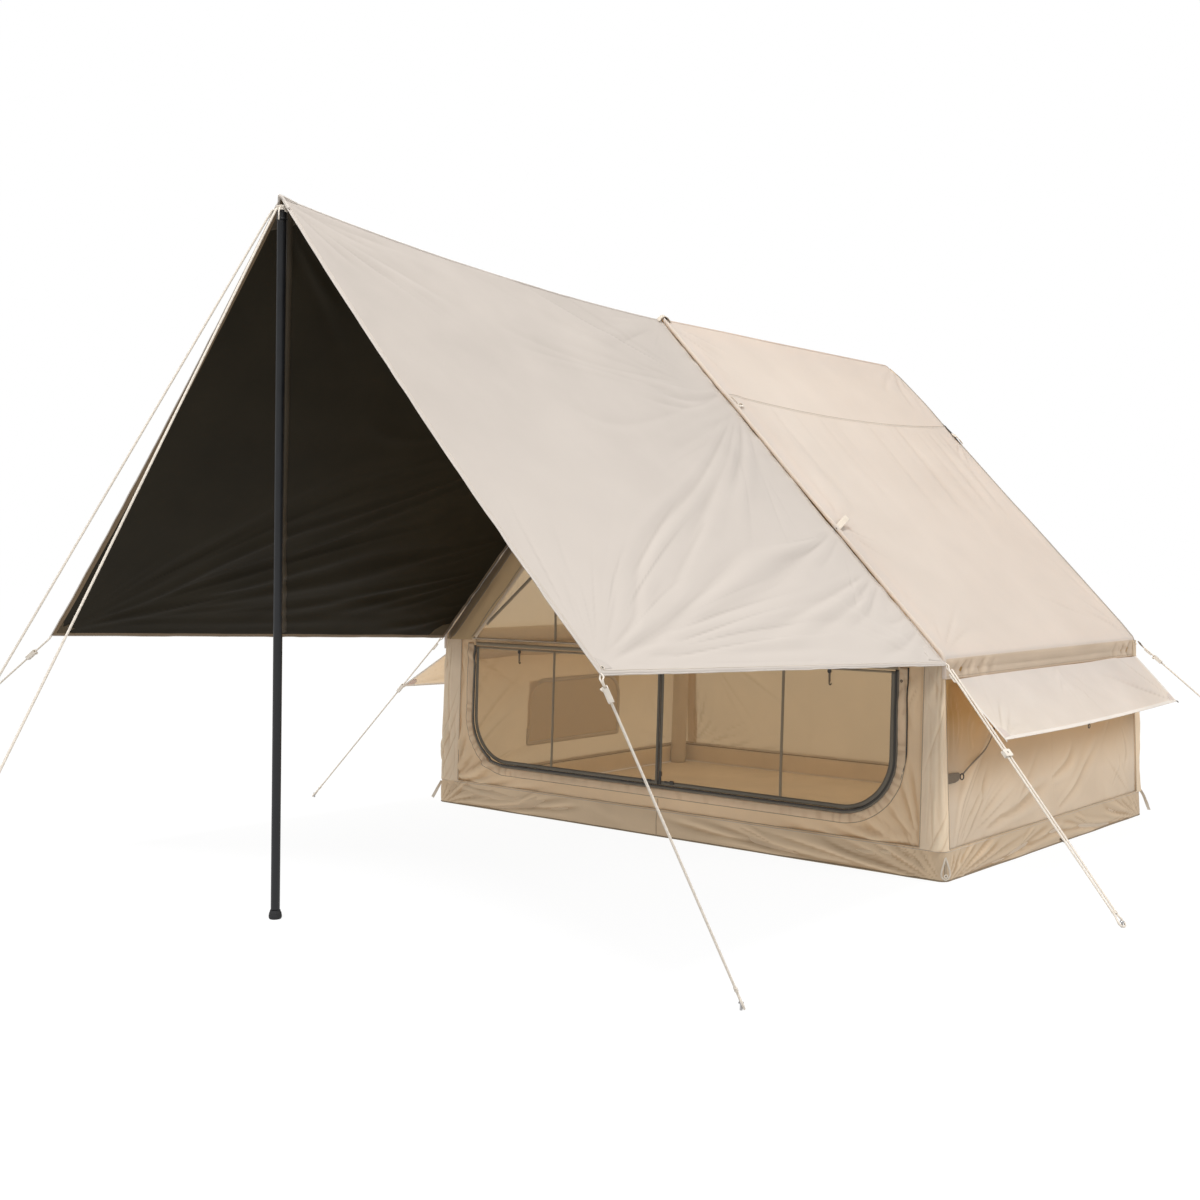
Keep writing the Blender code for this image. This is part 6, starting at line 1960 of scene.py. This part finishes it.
for side, name in ((-1, "left"), (1, "right")):
    mid_loop = smooth_curve([(side * 1.500, 0.050, 0.024), (side * 1.512, 0.052, 0.016), (side * 1.520, 0.064, 0.0065), (side * 1.512, 0.076, 0.012), (side * 1.500, 0.078, 0.024)], 8)
    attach(pipe(f"side_loop_{name}", mid_loop, 0.0036, [STRAP], 8), "tent")

# the hems meet in a rounded cap over the pole's top
arch = np.array([tuple(on_wing(-1, 0.004, t, 0.002)) for t in (0.060, 0.036, 0.018)] + [(0.0, -3.2440, 2.6070)] + [tuple(on_wing(1, 0.004, t, 0.002)) for t in (0.018, 0.036, 0.060)])
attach(pipe("apex_hem_cap", resample(smooth_curve(arch, 10), 0.003), 0.0055, [HEM_OUT], 12), "tent")
ridge_cap = np.array([(0.0, -3.244, 2.6065), (0.0, -3.225, 2.6040), (0.0, -3.200, 2.5985), (0.0, -3.170, 2.5925)])
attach(pipe("apex_ridge_cap", resample(smooth_curve(ridge_cap, 8), 0.003), np.linspace(0.0055, 0.0040, len(resample(smooth_curve(ridge_cap, 8), 0.003))), [HEM_OUT], 12), "tent")
# lashing at the top of the pole, and its two ends
turns = []
for q in np.linspace(0, 2 * math.pi * 3, 110):
    turns.append((0.0185 * math.cos(q), -3.236 + 0.0185 * math.sin(q), 2.552 + 0.0050 * q / (2 * math.pi) * 1.15))
lash = pipe("apex_lashing", np.array(turns), 0.0030, [ROPE_A], 10)
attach(lash, "tent")
for n, (dx, dy) in enumerate(((-0.026, -0.024), (0.022, -0.026))):
    end = smooth_curve([(dx * 0.6, -3.236 + dy * 0.7, 2.560), (dx, -3.236 + dy * 1.1, 2.545), (dx * 1.1, -3.238 + dy * 1.1, 2.530), (dx * 0.9, -3.238 + dy, 2.516)], 8)
    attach(pipe(f"apex_lashing_end_{n}", end, 0.0028, [ROPE_A], 10), "tent")

# ------------------------------------------------------------------ what is on the ropes
# ------------------------------------------------------------------ what is on the ropes
for name, (far, along, across, reach, half, strands, runner_at, length) in rope_facts.items():
    rope, points, path, length = ropes_made[name]
    peg_node = name.replace("guy_", "peg_")
    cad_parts[peg_node].data.materials.clear()
    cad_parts[peg_node].data.materials.append(STEEL)
    # whipping that closes the eye at the peg
    at = EYE_LEN + 0.004
    spin = np.linspace(0, 2 * math.pi * 5, 150)
    wide = max(half, 0.0044) + ROPE_R * 1.05
    high = ROPE_R * 1.15
    up = np.cross(along, across)
    wrap = np.array([far + along * (at + 0.0028 * 5 * q / (2 * math.pi * 5)) + across * wide * math.cos(q) + up * high * math.sin(q) for q in spin])
    knot = pipe(name.replace("guy_", "whipping_"), wrap, 0.0016, [ROPE_A], 8)
    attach(knot, "tent")
    if runner_at is not None:
        node_name = name.replace("guy_", "runner_")
        middle = 0.0 if strands == 2 else half
        centre = far + along * (reach - runner_at) + across * middle
        slot = (half if strands == 2 else 0.0) + ROPE_R + 0.001
        w = slot + 0.009
        # a flat slider seen from above, with three holes across it and rounded ends
        mat4 = axes(centre + up * 0.0, across, along)
        small = name == "guy_eave_front_right"
        L, W = (0.034, w - 0.003) if small else (0.052, w - 0.0015)
        outline = [*arc(W - 0.006, L / 2 - 0.006, 0.006, 0, 90, 6), *arc(-W + 0.006, L / 2 - 0.006, 0.006, 90, 180, 6), *arc(-W + 0.003, -L / 2 + 0.003, 0.003, 180, 270, 4), *arc(W - 0.003, -L / 2 + 0.003, 0.003, 270, 360, 4)]
        holes = [[(x, y + c) for x, y in arc(0, 0, 0.0040, 0, 345, 15)] for c in ((0.0,) if small else (-0.015, 0.0, 0.015))]
        for n, lift in enumerate((-0.0066, 0.0066)):
            plate = slab(f"{node_name}_plate_{n}", outline, 0.0040, mat4 @ Matrix.Translation((0, 0, lift)), [CREAM], holes)
            if n == 0:
                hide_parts(node_name)
            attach(plate, node_name)
        for n, x in enumerate((-W + 0.0028, W - 0.0028)):
            cheek = slab(f"{node_name}_side_{n}", [(x - 0.0026, -L / 2 + 0.003), (x + 0.0026, -L / 2 + 0.003), (x + 0.0026, L / 2 - 0.006), (x - 0.0026, L / 2 - 0.006)], 0.010, mat4, [CREAM], bevel=0.0008)
            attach(cheek, node_name)
        # the cord bears on the slider in a turn across it
        turn = np.array([tuple(mat4 @ Vector((0.75 * W * math.cos(q), (L / 2 - 0.010) - 0.006 * math.cos(2 * q), 0.0125 * math.sin(q)))) for q in np.linspace(0.15, math.pi - 0.15, 26)])
        wrap = pipe(f"{node_name}_wrap", turn, 0.0032, [ROPE_A], 8)
        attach(wrap, node_name)
    if name.startswith("guy_eave"):
        # a three-hole slider close to the eave, where the rope is tied on
        middle = 0.0 if strands == 2 else half
        centre = far + along * (reach - 0.040) + across * middle
        W = (half if strands == 2 else 0.0) + ROPE_R + 0.0040
        mat4 = axes(centre, across, along)
        outline = [*arc(W - 0.005, 0.022 - 0.005, 0.005, 0, 90, 6), *arc(-W + 0.005, 0.022 - 0.005, 0.005, 90, 180, 6), *arc(-W + 0.005, -0.022 + 0.005, 0.005, 180, 270, 6), *arc(W - 0.005, -0.022 + 0.005, 0.005, 270, 360, 6)]
        holes = [[(x, y + c) for x, y in arc(0, 0, 0.0030, 0, 345, 15)] for c in (-0.012, 0.0, 0.012)]
        plate = slab(name.replace("guy_", "slider_"), outline, 0.0050, mat4 @ Matrix.Translation((0, 0, 0.0070)), [CREAM], holes)
        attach(plate, "tent")
    if not name.startswith("guy_front"):
        # the loop that ties the rope to the cloth's corner
        begin = points[0]
        corner = {
            "guy_awning_left": (-1.546, -3.276, 0.984), "guy_awning_right": (1.546, -3.276, 0.984),
            "guy_eave_front_left": (-1.488, -1.052, 0.893), "guy_eave_front_right": (1.488, -1.052, 0.893), "guy_eave_rear_right": (1.482, 1.050, 0.900),
        }[name]
        corner = np.array(corner)
        swing = np.cross(begin - corner, along)
        swing = across * 0.006 if np.linalg.norm(swing) < 1e-6 else swing / np.linalg.norm(swing) * 0.006
        into = begin - along * 0.020
        for n, way in enumerate((-1, 1)):
            tie = resample(smooth_curve([corner, (corner + begin) / 2 + swing * way, begin + along * 0.004 + swing * way * 0.5, into], 8), 0.003)
            link_piece = pipe(name.replace("guy_", "link_") + f"_{n}", tie, 0.0028, [STRAP if name == "guy_eave_rear_right" else ROPE_A], 8)
            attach(link_piece, "tent")

# ------------------------------------------------------------------ CAD nodes that stay
for names, mat in (
    (("zip_pull_centre", "zip_pull_left", "zip_pull_right"), DARK),
    (("valve_body", "valve_cap"), VALVE),
    (("guy_ring_rear_left",), CREAM),
):
    for n in names:
        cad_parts[n].data.materials.clear()
        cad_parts[n].data.materials.append(mat)
        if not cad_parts[n].data.uv_layers.get("cloth"):
            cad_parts[n].data.uv_layers.new(name="cloth")
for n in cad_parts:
    if n.startswith("peg_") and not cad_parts[n].data.uv_layers.get("cloth"):
        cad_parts[n].data.uv_layers.new(name="cloth")

# ------------------------------------------------------------------ studio floor
bpy.ops.mesh.primitive_plane_add(size=120, location=(0, 0, -0.0002))
ground = bpy.context.active_object
ground.name = "studio_floor"
pale, tree, shader = tree_of("studio_floor")
shader.inputs["Base Color"].default_value = (0.09, 0.09, 0.09, 1)
shader.inputs["Emission Color"].default_value = (1, 1, 1, 1)
seen = tree.nodes.new("ShaderNodeLightPath")
floor_light = tree.nodes.new("ShaderNodeMapRange")
floor_light.inputs["To Min"].default_value = 0.75
floor_light.inputs["To Max"].default_value = 0.94
tree.links.new(seen.outputs["Is Camera Ray"], floor_light.inputs["Value"])
tree.links.new(floor_light.outputs["Result"], shader.inputs["Emission Strength"])
shader.inputs["Roughness"].default_value = 0.9
shader.inputs["Specular IOR Level"].default_value = 0.0
ground.data.materials.append(pale)

bpy.context.view_layer.update()
